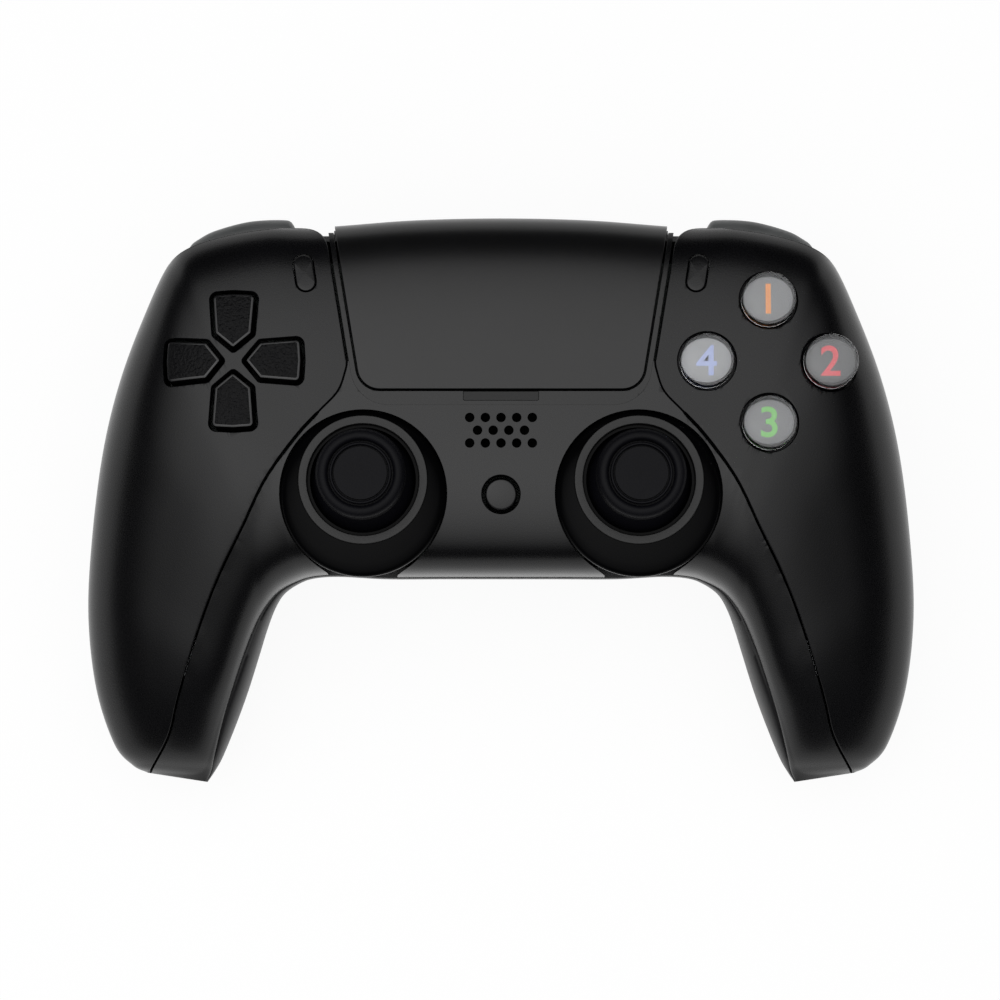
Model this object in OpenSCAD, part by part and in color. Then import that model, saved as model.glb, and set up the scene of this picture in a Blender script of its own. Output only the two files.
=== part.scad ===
// Gamepad controller: a lofted two-part body with grips, covers, buttons, sticks, triggers and inner works.
// Frame: +X to the player's right, +Y away from the player, +Z out of the face, resting on z = 0, in mm.

/* [Body] */
// Height of the flat face above the table
face_z = 51; // [49:0.5:54]
// Wall of the covers and of the rear shell
wall = 2; // [1.6:0.1:2.4]
// Gap between neighbouring covers
seam_gap = 0.4; // [0.3:0.05:0.6]
// Gap between the covers and the rear shell
parting_gap = 0.12; // [0.1:0.02:0.3]
// Clear space round pieces that move in a hole
run_gap = 0.35; // [0.3:0.05:0.5]

/* [Touchpad] */
// Half width of the touchpad at its lower edge
pad_half = 26.3; // [24:0.1:28]
// Lower edge of the touchpad, from the middle of the body
pad_bottom_y = 18.8; // [18:0.1:21]
// Corner radius at the lower edge
pad_corner = 4.2; // [2:0.1:6]
// Lean of the side edges
pad_lean = 9.5; // [8:0.1:11]
// Width of the light guide below the touchpad
guide_w = 3; // [2.2:0.1:4]
// Width of the light guide beside the touchpad
guide_side_w = 1.35; // [1.3:0.05:1.8]
// How far the light guide lies below the covers
guide_sink = 0.7; // [0.3:0.1:1]

/* [Sticks] */
// Stick axis, sideways from the middle
stick_x = 25.8; // [24:0.1:27]
// Stick axis, from the middle of the body
stick_y = 1.6; // [0.5:0.1:2.5]
// Depth of the stick's pivot below the face
stick_depth = 8; // [7.5:0.1:9]
// Outer diameter of the bezel ring
ring_d = 24.2; // [23.4:0.1:25]
// Width of the bezel ring
ring_w = 1.7; // [1.4:0.1:2]
// Diameter of the thumb cap
cap_d = 16.6; // [15:0.1:18]
// Top of the thumb cap above the pivot
cap_top = 22; // [20:0.1:23]
// Radius of the dome that closes the hole under the cap
dome_r = 11.4; // [11.2:0.1:11.8]
// Diameter of the lever
lever_d = 3; // [2.4:0.1:3.4]

/* [Four-way pad] */
// Centre of the four-way pad, to the left of the middle
dpad_x = 50.2; // [49:0.1:51]
// Centre of the four-way pad, from the middle of the body
dpad_y = 24.1; // [23:0.1:25]
// Reach of each window from the centre
dpad_reach = 13.4; // [12.6:0.1:13.8]
// Width of each window at its outer end
dpad_w = 9.3; // [8.6:0.1:9.8]
// Gap round each key
dpad_gap = 0.8; // [0.7:0.05:1]
// Corner radius of each window
dpad_corner = 1.2; // [0.8:0.1:1.5]

/* [Face buttons] */
// Centre of the four buttons, to the right of the middle
face_x = 50.3; // [49:0.1:51]
// Centre of the four buttons, from the middle of the body
face_y = 24.1; // [23:0.1:25]
// Distance of each button from that centre
face_pitch = 11.65; // [11.2:0.05:12]
// Diameter of a button
face_d = 10.2; // [9.6:0.1:10.6]
// Height of a button above the cover
face_rise = 2.4; // [1.8:0.1:3]

/* [Small buttons] */
// Pill buttons, sideways from the middle
pill_x = 37; // [36:0.1:38]
// Pill buttons, from the middle of the body
pill_y = 41; // [40:0.1:42]
// Width of a pill
pill_w = 3.6; // [3:0.1:4]
// Length of a pill
pill_l = 7.2; // [6.4:0.1:7.6]
// Home button, from the middle of the body
home_y = -1; // [-2:0.1:0]
// Diameter of the home button
home_d = 5.8; // [5:0.1:6.2]
// Width of the groove round the home button
home_groove = 0.7; // [0.35:0.05:0.8]
// Travel of the small buttons
small_travel = 0.6; // [0.4:0.1:0.7]

/* [Shoulders] */
// Inner side of the bumper and trigger
shoulder_x0 = 39.8; // [39.4:0.1:40.4]
// Outer side of the bumper and trigger
shoulder_x1 = 59.4; // [58.6:0.1:59.8]
// Trigger pin, from the middle of the body
pin_y = 39.5; // [39:0.1:40]
// Trigger pin, above the table
pin_z = 24; // [23.6:0.1:24.2]
// Diameter of the trigger pin
pin_d = 3; // [2.4:0.1:3.2]
// Travel of a bumper
bumper_travel = 1; // [0.6:0.1:1.1]

/* [Inside] */
// Thickness of the main board
board_t = 1.2; // [1:0.1:1.6]
// Width of the battery
battery_w = 44; // [40:0.5:46]
// Depth of the battery
battery_d = 26; // [22:0.5:27]
// Height of the battery
battery_h = 9.6; // [8:0.1:9.8]
// Diameter of a rumble motor
motor_d = 16; // [14:0.5:16.5]
// Length of a rumble motor
motor_l = 17; // [15:0.5:18]
// Bore of the headphone jack
jack_d = 3.5; // [3.5:0.05:3.6]

/* [Hidden] */
$fn = 48;

black = "#2a2b2e";
dark_grey = "#3c3d40";
mid_grey = "#6d6f72";
rubber_grey = "#8b8d90";
metal = "#b9bcc0";
board_green = "#1f4a3a";

// Guide stations of the body from its middle out to a grip's tip. Each row gives the outer edge x, y, z,
// the inner edge x, y, z, the drop of the crown below the face, the height of the underside,
// the fullness of the front and of the rear, and the inward and upward reach of the rear shell's lip.
stations = [
    [ 0.0, 53.3, 34.0,  0.0, -15.5, 33.0,  0.0, 16.0, 3.6, 2.6, 0.2, 1.0],
    [17.0, 52.9, 34.0, 11.0, -15.5, 33.0,  0.0, 16.0, 3.6, 2.6, 0.2, 1.0],
    [34.4, 51.6, 34.0, 22.0, -15.5, 33.0,  0.0, 15.5, 3.6, 2.6, 0.2, 1.0],
    [46.0, 51.6, 34.0, 31.0, -15.0, 32.5,  0.0, 14.0, 3.5, 2.5, 0.2, 1.0],
    [58.8, 49.0, 33.5, 36.0, -15.3, 32.0,  0.0, 12.0, 3.3, 2.5, 0.2, 1.0],
    [63.7, 44.9, 32.5, 39.0, -16.3, 31.0,  0.2,  9.5, 3.0, 2.4, 0.3, 1.4],
    [68.3, 35.6, 31.5, 41.8, -18.1, 29.5,  1.0,  7.0, 2.8, 2.4, 0.6, 2.4],
    [73.2, 23.1, 30.0, 43.6, -20.8, 28.0,  3.0,  4.8, 2.6, 2.3, 1.2, 4.0],
    [76.7,  9.7, 28.0, 45.2, -24.6, 26.0,  6.0,  2.8, 2.5, 2.3, 1.8, 6.0],
    [79.0, -6.5, 25.5, 47.0, -30.0, 23.5, 10.0,  1.3, 2.4, 2.2, 2.2, 7.0],
    [80.0, -21.8, 22.5, 49.2, -36.5, 21.0, 14.5,  0.4, 2.3, 2.2, 2.3, 7.0],
    [78.7, -35.9, 19.5, 51.7, -42.8, 18.0, 20.0,  0.2, 2.2, 2.2, 2.0, 6.0],
    [75.4, -46.6, 16.5, 54.4, -49.0, 15.5, 26.0,  2.0, 2.2, 2.2, 1.2, 4.0],
    [71.9, -50.7, 15.0, 56.0, -51.8, 14.5, 30.5,  5.5, 2.2, 2.2, 0.5, 1.5],
    [69.1, -52.1, 14.4, 57.4, -53.9, 14.0, 34.6, 11.2, 2.2, 2.2, 0.2, 0.6]];
tip = len(stations) - 1;
// Station where the hollow of the shells ends, short of the solid tip
hollow_end = tip - 1.4;
front_steps = 16;
rear_steps = 14;
lip_steps = 3;
opposite = [-1, 1, 1, -1, 1, 1, 1, 1, 1, 1, 1, 1];

// Seam between a wing cover and the centre fascia, from the light guide to the grip's tip
seam_points = [[28.85, 24.4], [29.15, 22.4], [30.6, 18.4], [34.1, 14.6], [38.6, 9.6], [44, 2], [48.3, -6.6],
    [52.6, -14.8], [55.9, -22.2], [59, -30.5], [61.8, -38.7], [63.8, -45.2], [67.2, -50.6], [72, -56]];
// Upper edge of a wing cover above the bumper
wing_top_points = [[42, 51], [50, 49.8], [57.5, 47.8], [63.5, 44.8], [68, 41.5], [76, 37]];
wing_corner = 5.6;
// Extra gap between a wing cover and the side of the light guide
wing_shy = 0.25;
// Outer edge of a bumper, seen from the face
bumper_points = [[39.9, 53], [41.6, 53.8], [48.4, 53.5], [55.1, 51.7], [58.3, 50]];

// Heights worked out from the face
pivot_z = face_z - stick_depth;
board_top = pivot_z - 7;
board_bottom = board_top - board_t;
membrane_t = 1;
touch = 0.1;
plan_top = 75;

// Smooth curve through a list of points, numbers or stations
function between(a, b, c, d, t) = 0.5 * (2 * b + (c - a) * t + (2 * a - 5 * b + 4 * c - d) * t * t
    + (3 * b - a - 3 * c + d) * t * t * t);
function curve(p, per_span) = [for (k = [0 : len(p) - 2], i = [0 : per_span - 1])
    between(k > 0 ? p[k - 1] : 2 * p[0] - p[1], p[k], p[k + 1],
        k < len(p) - 2 ? p[k + 2] : 2 * p[k + 1] - p[k], i / per_span), p[len(p) - 1]];
function times(a, b) = [for (i = [0 : len(a) - 1]) a[i] * b[i]];

// Station at a place along the body, negative on the left
function half_station(s) = let (k = min(floor(s), tip - 1))
    between(k > 0 ? stations[k - 1] : times(stations[1], opposite), stations[k], stations[k + 1],
        k < tip - 1 ? stations[k + 2] : 2 * stations[tip] - stations[tip - 1], s - k);
function station(s) = s < 0 ? times(half_station(-s), opposite) : half_station(s);

// Parts of a station: both ends of the chord, its direction and the height of the parting
function outer_end(g) = [g[0], g[1]];
function inner_end(g) = [g[3], g[4]];
function inward(g) = (outer_end(g) - inner_end(g)) / norm(outer_end(g) - inner_end(g));
function front_inner(g) = inner_end(g) + inward(g) * g[10];
function front_inner_z(g) = g[5] + g[11];
function power(v, n) = sign(v) * pow(abs(v), 2 / n);
function section_point(a, za, b, zb, peak, n, inset, angle) = let (half = norm(a - b) / 2,
        t = power(cos(angle), n) * (1 - inset / half), up = power(sin(angle), n), zm = (za + zb) / 2)
    concat((a + b) / 2 + (a - b) / 2 * t,
        [zm + (za - zb) / 2 * t + abs(up) * (peak - sign(peak - zm) * inset - zm)]);

// One ring of the front half, and of the rear half with its lip
function front_ring(s, inset, drop) = let (g = station(s),
        arc = [for (i = [0 : front_steps]) section_point(outer_end(g), g[2], front_inner(g), front_inner_z(g),
            face_z - g[6], g[8], inset, 180 * i / front_steps)])
    drop > 0 ? concat(arc, [arc[front_steps] - [0, 0, drop], arc[0] - [0, 0, drop]]) : arc;
function rear_ring(s, inset, lift) = let (g = station(s),
        arc = [for (i = [0 : rear_steps]) section_point(outer_end(g), g[2] - parting_gap, inner_end(g),
            g[5] - parting_gap,
            g[7], g[9], inset, 180 + 180 * i / rear_steps)],
        lip = [for (i = [0 : lip_steps - 1]) let (a = 90 - 90 * i / lip_steps)
            concat(inner_end(g) + inward(g) * (inset + g[10] * (1 - cos(a))),
                [g[5] - parting_gap + g[11] * sin(a)])])
    lift > 0 ? concat([lip[0] + [0, 0, lift]], lip, arc, [arc[rear_steps] + [0, 0, lift]]) : concat(lip, arc);

// Closed solid through a row of rings
module loft(rings, other_diagonal = false) {
    n = len(rings[0]);
    last = (len(rings) - 1) * n;
    sides = [for (i = [0 : len(rings) - 2], j = [0 : n - 1]) let (a = i * n + j, b = i * n + (j + 1) % n)
        each other_diagonal ? [[a, a + n, b], [a + n, b + n, b]] : [[a, a + n, b + n], [a, b + n, b]]];
    polyhedron([for (r = rings) each r],
        concat([[for (j = [0 : n - 1]) j]], sides, [[for (j = [n - 1 : -1 : 0]) last + j]]));
}
module front_solid(from, to, inset = 0, drop = 0, step = 0.5) {
    count = ceil((to - from) / step);
    loft([for (i = [0 : count]) front_ring(from + (to - from) * i / count, inset, drop)]);
}
module rear_solid(from, to, inset = 0, lift = 0, step = 0.5) {
    count = ceil((to - from) / step);
    loft([for (i = [0 : count]) rear_ring(from + (to - from) * i / count, inset, lift)], true);
}

// Height of the front or the rear surface over a point
function side_of(p, s) = let (g = station(s), d = outer_end(g) - inner_end(g), e = p - inner_end(g))
    d[0] * e[1] - d[1] * e[0];
function station_at(p, lo = 0, hi = tip, depth = 16) = let (mid = (lo + hi) / 2)
    depth == 0 ? mid : side_of(p, mid) < 0 ? station_at(p, mid, hi, depth - 1) : station_at(p, lo, mid,
        depth - 1);
function surface_z(p, a, za, b, zb, peak, n, inset) = let (half = (a - b) / 2 * (1 - 2 * inset / norm(a - b)),
        t = max(-1, min(1, (p - (a + b) / 2) * half / (half * half))), zm = (za + zb) / 2)
    zm + (za - zb) / 2 * t + (peak - sign(peak - zm) * inset - zm) * pow(1 - pow(abs(t), n), 1 / n);
function front_z(x, y, inset = 0) = let (p = [abs(x), y], g = station(station_at(p)))
    surface_z(p, outer_end(g), g[2], front_inner(g), front_inner_z(g), face_z - g[6], g[8], inset);
function rear_z(x, y, inset = 0) = let (p = [abs(x), y], g = station(station_at(p)))
    surface_z(p, outer_end(g), g[2], inner_end(g), g[5], g[7], g[9], inset);
// Front surface round a disc, the highest flat seat under the front wall, and the highest rear surface
function rim(x, y, r, inset = 0) = [for (a = [0 : 30 : 330]) front_z(x + r * cos(a), y + r * sin(a), inset)];
function under_front(x, y, r) = min(rim(x, y, r, wall)) - run_gap;
function over_rear(x, y, r) = max([for (a = [0 : 45 : 315]) rear_z(x + r * cos(a), y + r * sin(a))]);

// Plan outlines of the touchpad, of the light guide round it and of the covers
module tapered(half, bottom, corner) {
    far = plan_top - bottom;
    offset(r = corner) offset(delta = -corner) polygon([[-half, bottom], [half, bottom],
        [half + far * tan(pad_lean), plan_top], [-half - far * tan(pad_lean), plan_top]]);
}
module pad_outline() tapered(pad_half, pad_bottom_y, pad_corner);
module guide_outline() tapered(guide_side(pad_bottom_y - guide_w)[0], pad_bottom_y - guide_w,
    pad_corner + guide_w);
// Side edge of the light guide at a place along the body
function guide_side(y) = [pad_half + guide_side_w + (y - pad_bottom_y) * tan(pad_lean), y];
module wing_outline() {
    far = 110;
    top = curve(wing_top_points, 3);
    offset(delta = -seam_gap / 2) offset(r = wing_corner) offset(delta = -wing_corner)
        polygon(concat(curve(seam_points, 3), [[far, -far], [far, 0]],
            [for (i = [len(top) - 1 : -1 : 0]) top[i]],
            [for (y = [wing_top_points[0][1], seam_points[0][1]]) guide_side(y) + [wing_shy, 0]]));
}
module fascia_outline() {
    seam = curve(seam_points, 3);
    offset(delta = -seam_gap / 2) difference() {
        polygon(concat(seam, [for (i = [len(seam) - 1 : -1 : 0]) [-seam[i][0], seam[i][1]]]));
        guide_outline();
    }
}

// Places of the holes
pad_angles = [0, 90, 180, 270];
function face_at(i) = [face_x, face_y] + face_pitch * [sin(90 * i), cos(90 * i)];
module window_2d(shrink = 0, corner = dpad_corner) {
    bulge = 0.3;
    offset(r = corner) offset(delta = -corner - shrink) polygon([[0, 1.5], [dpad_w * 0.43, 4.8],
        [dpad_w / 2, dpad_reach - bulge], [0, dpad_reach], [-dpad_w / 2, dpad_reach - bulge],
            [-dpad_w * 0.43, 4.8]]);
}
module pill_2d(grow = 0) {
    hull() for (e = [-1, 1]) translate([0, e * (pill_l - pill_w) / 2]) circle(pill_w / 2 + grow, $fn = 32);
}
module at_pill() translate([pill_x, pill_y]) rotate(-pad_lean) children();

// Screws of the case: places, seat heights and bosses in the wing covers
case_screws = [[34.2, 32.5], [69, -41]];
case_screw_d = 2;
case_boss_d = 4.4;
case_pilot = 8;
function case_seat(p) = over_rear(p[0], p[1], 2.4) + 2.5;
function case_split(p) = case_seat(p) + 4;

// Bumper and trigger bay
bay_gap = 0.4;
bumper_z0 = 27.6;
bumper_z1 = 37.6;
bay_x0 = shoulder_x0 - 1.8;
bay_x1 = shoulder_x1 + 1.8;
bay_y = 32;
// Bumper switches, clear of the rubber domes, and the bumper's tongue behind them
dome_foot = 6.2;
switch_l = 3.9;
bumper_switch_y = face_y + face_pitch + dome_foot / 2 + 0.25;
tongue_y = bumper_switch_y + switch_l + bumper_travel + bay_gap;
// Notch in the rear shell's rim between the touchpad's corner and the bay
notch_x = 32.2;
notch_y = 50.7;

module wing_shell() {
    difference() {
        intersection() {
            front_solid(1.2, tip);
            linear_extrude(plan_top) wing_outline();
        }
        front_solid(0.6, hollow_end, wall, 3);
        translate([bay_x0, 42, 0]) cube([bay_x1 - bay_x0, 30, bumper_z1 + bay_gap]);
        translate([0, 0, board_top]) linear_extrude(plan_top) at_pill() pill_2d(run_gap);
        children();
    }
    for (p = case_screws) difference() {
        translate([p[0], p[1], case_split(p)])
            cylinder(h = front_z(p[0], p[1]) - wall / 2 - case_split(p), d = case_boss_d);
        translate([p[0], p[1], case_split(p) - 1]) cylinder(h = case_pilot, d = case_screw_d + touch);
    }
}
module left_wing_cover() {
    color(black) mirror([1, 0, 0]) wing_shell()
        for (a = pad_angles) translate([dpad_x, dpad_y, board_top]) rotate(a) linear_extrude(plan_top)
            window_2d();
}
module right_wing_cover() {
    color(black) wing_shell()
        for (i = [0 : 3]) translate(concat(face_at(i), [board_top]))
            cylinder(h = plan_top, d = face_d + 2 * run_gap);
}

// Bowl that rises round each stick, with a rabbet for the bezel ring
ring_r = ring_d / 2;
hole_r = ring_r - ring_w - 0.1;
ring_seat = stick_depth + 0.2;
ring_top = stick_depth + 1.3;
dome_clear = dome_r + run_gap;
function on_dome(r) = sqrt(dome_clear * dome_clear - r * r);
module stick_bowl() {
    foot = -3;
    outside = curve([[ring_r + 0.4, ring_top - 0.1], [ring_r + 1.2, stick_depth + 0.6],
        [ring_r + 2, stick_depth - 0.8],
        [ring_r + 3.2, stick_depth - 4], [ring_r + 4.1, stick_depth - 8], [ring_r + 4.4, foot]], 3);
    rotate_extrude() polygon(concat([[hole_r, on_dome(hole_r) + 0.1], [hole_r, ring_seat],
        [ring_r + 0.1, ring_seat],
        [ring_r + 0.1, ring_top - 0.1]], outside, [[ring_r + 2.6, foot], [dome_clear + 0.9, 1.6],
            [dome_clear + 0.2, 1.6]]));
}
module at_sticks() for (side = [-1, 1]) translate([side * stick_x, stick_y, pivot_z]) children();

// Sound holes in three rows
sound_d = 1.8;
sound_pitch = 2.93;
sound_y = [8.6, 11, 13.4];
sound_count = [5, 4, 5];
module centre_fascia() {
    color(black) {
        difference() {
            intersection() {
                front_solid(-tip, tip);
                linear_extrude(plan_top) fascia_outline();
            }
            front_solid(-hollow_end, hollow_end, wall, 3);
            at_sticks() cylinder(h = 20, r = ring_r + 0.4);
            at_sticks() sphere(dome_clear);
            translate([0, home_y, board_top]) cylinder(h = plan_top, d = home_d + 2 * home_groove);
            for (r = [0 : 2], i = [0 : sound_count[r] - 1])
                translate([(i - (sound_count[r] - 1) / 2) * sound_pitch, sound_y[r], board_top])
                    cylinder(h = plan_top, d = sound_d);
        }
        intersection() {
            at_sticks() stick_bowl();
            linear_extrude(plan_top) fascia_outline();
        }
    }
}

// Light guide round the touchpad, with a separate window let into its lower band
indicator_w = 14.2;
indicator_d = 2.25;
indicator_gap = 0.1;
guide_low_z = 38;
guide_end_y = 49.4;
module guide_band() {
    difference() {
        intersection() {
            front_solid(-3.4, 3.4, guide_sink);
            linear_extrude(plan_top) difference() {
                offset(delta = -seam_gap / 2) guide_outline();
                offset(delta = seam_gap) pad_outline();
            }
        }
        front_solid(-4, 4, wall + guide_sink, 3);
        translate([-60, 30, 0]) cube([120, 40, guide_low_z]);
        translate([-60, guide_end_y, 0]) cube([120, 40, plan_top]);
    }
}
module light_guide() {
    color(dark_grey) difference() {
        guide_band();
        translate([-indicator_w / 2 - indicator_gap, pad_bottom_y - indicator_d, 0])
            cube([indicator_w + 2 * indicator_gap, guide_w, plan_top]);
    }
}
module indicator_window() {
    color(mid_grey) intersection() {
        guide_band();
        translate([-indicator_w / 2, pad_bottom_y - indicator_d + indicator_gap, 0])
            cube([indicator_w, guide_w, plan_top]);
    }
}
pad_pin_in = 4.5;
pad_pin_y = pad_bottom_y + pad_pin_in;
pad_low_z = 34.4;
switch_h = 3.6;
module touchpad() {
    color(black) {
        difference() {
            intersection() {
                front_solid(-2.6, 2.6);
                linear_extrude(plan_top) pad_outline();
            }
            front_solid(-3.2, 3.2, wall, 3);
            translate([-60, 30, 0]) cube([120, 40, pad_low_z]);
        }
        translate([0, pad_pin_y, board_top + switch_h + 0.8])
            cylinder(h = front_z(0, pad_pin_y) - wall / 2 - board_top - switch_h - 0.8, d = 4);
    }
}

// Rear shell with its ports, posts and trigger bays
jack_z = 26;
jack_nose_d = 6.4;
jack_nose_l = 6.2;
jack_l = 13;
jack_mouth_y = -14.2;
jack_back_y = jack_mouth_y + jack_l + 1;
jack_w = 8;
jack_h = 6.8;
socket_z = 28;
frame_t = 1.6;
battery_clear = 1.2;
battery_y = jack_back_y + battery_clear + battery_d / 2;
battery_z = over_rear(battery_w / 2 - 2, battery_y - battery_d / 2, 1) + wall + 0.3;
frame_z = battery_z + battery_h + 0.3;
board_screw_at = [[13, -8.5], [28.5, 33]];
board_screw_d = 1.8;
port_posts = [7, 43];
port_board_z = socket_z - 2.8;
motor_x = 63.5;
motor_y = -8;
motor_z = 17;
rib_y = [motor_y - 4, motor_y - motor_l + 4];
module rear_shell() {
    color(black) difference() {
        union() {
            difference() {
                rear_solid(-tip, tip);
                rear_solid(-hollow_end, hollow_end, wall, 9);
                for (side = [-1, 1]) {
                    translate([side > 0 ? bay_x0 : -bay_x1, bay_y, -1]) cube([bay_x1 - bay_x0, 40, 60]);
                    translate([side > 0 ? notch_x : -bay_x1, notch_y, -1]) cube([bay_x1 - notch_x, 40, 60]);
                }
            }
            for (side = [-1, 1]) {
                for (p = case_screws) translate([side * p[0], p[1], over_rear(p[0], p[1], 2) + 0.6])
                    cylinder(h = case_split(p) - touch - over_rear(p[0], p[1], 2) - 0.6,
                        d = case_boss_d + 2.2);
                for (p = board_screw_at) translate([side * p[0], p[1], over_rear(p[0], p[1], 2) + 0.6])
                    cylinder(h = frame_z - over_rear(p[0], p[1], 2) - 0.6, d = 4.6);
                translate([side * port_posts[0], port_posts[1], over_rear(port_posts[0], port_posts[1],
                    2) + 0.6])
                    cylinder(h = port_board_z - over_rear(port_posts[0], port_posts[1], 2) - 0.6, d = 4);
                for (y = rib_y) motor_rib(side, y);
            }
        }
        for (side = [-1, 1]) {
            for (p = case_screws) translate([side * p[0], p[1], -1]) {
                cylinder(h = case_seat(p) + 1, d = 4.8);
                cylinder(h = 60, d = case_screw_d + 0.4);
            }
            for (p = board_screw_at) translate([side * p[0], p[1], frame_z - 5])
                cylinder(h = 9, d = board_screw_d + touch);
        }
        translate([0, -25, jack_z]) rotate([-90, 0, 0]) cylinder(h = 20, d = jack_nose_d + 0.4);
        translate([0, 47, socket_z]) rotate([-90, 0, 0]) linear_extrude(15) socket_2d(0.3);
    }
}
module motor_rib(side, y) {
    base = over_rear(motor_x, y, 6) + 0.5;
    translate([side * motor_x, y, 0]) rotate([90, 0, 0]) translate([0, 0, -1]) linear_extrude(2)
        difference() {
        translate([-6, base]) square([12, motor_z - base - 2]);
        translate([0, motor_z]) circle(d = motor_d + 0.3);
    }
}
module socket_2d(grow = 0) {
    w = 8.9;
    h = 3.2;
    hull() for (e = [-1, 1]) translate([e * (w - h) / 2, 0]) circle(h / 2 + grow, $fn = 32);
}

// Bumpers, triggers, their pins and springs
module bumper() {
    edge = curve(bumper_points, 3);
    back = 44.6;
    nose_y = 50;
    nose_d = 4;
    side_t = 1.4;
    skin = 1.6;
    h = bumper_z1 - bumper_z0;
    difference() {
        intersection() {
            translate([0, 0, bumper_z0]) linear_extrude(h) polygon(concat(edge,
                [[shoulder_x1, nose_y - 1], [shoulder_x1, back], [shoulder_x0, back],
                    [shoulder_x0, bumper_points[0][1] - 0.6]]));
            translate([shoulder_x0, 0, 0]) rotate([90, 0, 90]) linear_extrude(shoulder_x1 - shoulder_x0)
                polygon(concat([[back, bumper_z0]],
                    [for (a = [-90 : 15 : 90]) [nose_y + nose_d * cos(a), bumper_z0 + h / 2 * (1 + sin(a))]],
                    [[back, bumper_z1]]));
        }
        translate([shoulder_x0 + side_t, back - 1, bumper_z0 + skin])
            cube([shoulder_x1 - shoulder_x0 - 2 * side_t, nose_y - back, h - 2 * skin]);
    }
    translate([(shoulder_x0 + shoulder_x1) / 2 - 2, tongue_y, board_top - 0.4])
        cube([4, nose_y - 0.6 - tongue_y, bumper_z1 - board_top]);
}
module left_bumper() color(mid_grey) mirror([1, 0, 0]) bumper();
module right_bumper() color(mid_grey) bumper();

finger_points = [[53, 26.4], [52.6, 24], [51, 18], [49.6, 12.5], [49.2, 8], [50.2, 4], [52.4, 1.2]];
inner_points = [[49.4, 0.8], [47, 4.5], [46.2, 8], [46.6, 13], [47.6, 18], [48.2, 22.5]];
hub_d = pin_d + 3;
module trigger() {
    round_r = 5;
    middle = (shoulder_x0 + shoulder_x1) / 2;
    half = (shoulder_x1 - shoulder_x0) / 2;
    rib_t = 1.6;
    flare = 1.3;
    wide = half + flare;
    difference() {
        union() {
            intersection() {
                translate([middle - wide, 0, 0]) rotate([90, 0, 90]) linear_extrude(2 * wide) polygon(concat(
                    curve(finger_points, 3), [[52.2, 0], [50.6, 0]], curve(inner_points, 3),
                        [[44, 23.4], [44, 26.4]]));
                translate([middle, 70, 0]) rotate([90, 0, 0]) linear_extrude(60) hull() {
                    translate([-wide, 20]) square([2 * wide, 8]);
                    for (e = [-1, 1]) translate([e * (wide - round_r), round_r]) circle(round_r, $fn = 32);
                }
            }
            translate([shoulder_x0, pin_y, pin_z]) rotate([0, 90, 0]) cylinder(h = 2 * half, d = hub_d);
            for (x = [shoulder_x0, middle - rib_t / 2, shoulder_x1 - rib_t]) translate([x, 0, 0])
                rotate([90, 0, 90])
                linear_extrude(rib_t) polygon([[pin_y, pin_z - hub_d / 2], [48.6, 10], [49.6, 20], [48, 25.6],
                    [44, 26.4], [pin_y + 1, pin_z + hub_d / 2 - 0.4]]);
        }
        translate([shoulder_x0 - 1, pin_y, pin_z]) rotate([0, 90, 0])
            cylinder(h = 2 * half + 2, d = pin_d + 0.1);
        translate([middle + 2, pin_y - 5, pin_z]) rotate([0, 90, 0]) translate([0, 5, 0])
            cylinder(h = 5, d = hub_d + 2.2);
    }
}
module left_trigger() color(black) mirror([1, 0, 0]) trigger();
module right_trigger() color(black) trigger();
module trigger_pins() {
    color(metal) for (side = [-1, 1]) translate([side > 0 ? bay_x0 + 0.2 : -bay_x1 + 0.2, pin_y, pin_z])
        rotate([0, 90, 0]) cylinder(h = bay_x1 - bay_x0 - 0.4, d = pin_d);
}
module trigger_spring() {
    coils = 3;
    per_turn = 8;
    wire = 0.35;
    coil_r = pin_d / 2 + 0.8;
    x0 = (shoulder_x0 + shoulder_x1) / 2 + 2.7;
    function coil_at(i) = let (a = 360 * i / per_turn)
        [x0 + 3.6 * i / (coils * per_turn), pin_y + coil_r * cos(a), pin_z + coil_r * sin(a)];
    loft([for (i = [0 : coils * per_turn]) let (a = 360 * i / per_turn, c = coil_at(i))
        [for (j = [0 : 5]) c + wire * (cos(60 * j) * [1, 0, 0] + sin(60 * j) * [0, cos(a), sin(a)])]]);
}
module left_trigger_spring() color(metal) mirror([1, 0, 0]) trigger_spring();
module right_trigger_spring() color(metal) trigger_spring();

// Four-way pad: one rocking piece with four keys, on a ball and a rubber membrane
rock_z = pivot_z;
plate_t = 1.6;
plate_z = rock_z - 1.2;
ball_d = 4;
function key_top(a, r) = front_z(dpad_x - r * sin(-a), dpad_y + r * cos(a)) + 1.1;
module d_pad() {
    color(black) translate([-dpad_x, dpad_y, 0]) difference() {
        union() {
            for (a = pad_angles) {
                inner = key_top(-a, 3);
                outer = key_top(-a, dpad_reach - 1);
                rotate(a) intersection() {
                    translate([0, 0, plate_z]) linear_extrude(plan_top) window_2d(dpad_gap, dpad_corner / 2);
                    translate([-dpad_w, 0, 0]) rotate([90, 0, 90]) linear_extrude(2 * dpad_w)
                        polygon([[0, plate_z], [dpad_reach + 2, plate_z], [dpad_reach + 2, outer + 0.1],
                            [dpad_reach - 1, outer + 0.2],
                            [3, inner], [0, inner - 0.4]]);
                }
                rotate(a) translate([-3, 0, plate_z]) cube([6, 10.5, plate_t]);
            }
            translate([0, 0, plate_z]) cylinder(h = 3.6, d = ball_d + 3.2);
        }
        translate([0, 0, rock_z]) sphere(d = ball_d + 0.2);
        translate([0, 0, plate_z - 1]) cylinder(h = 2.2, d = ball_d + 0.2);
    }
}
module d_pad_pivot() {
    color(metal) translate([-dpad_x, dpad_y, rock_z]) sphere(d = ball_d);
}
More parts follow.
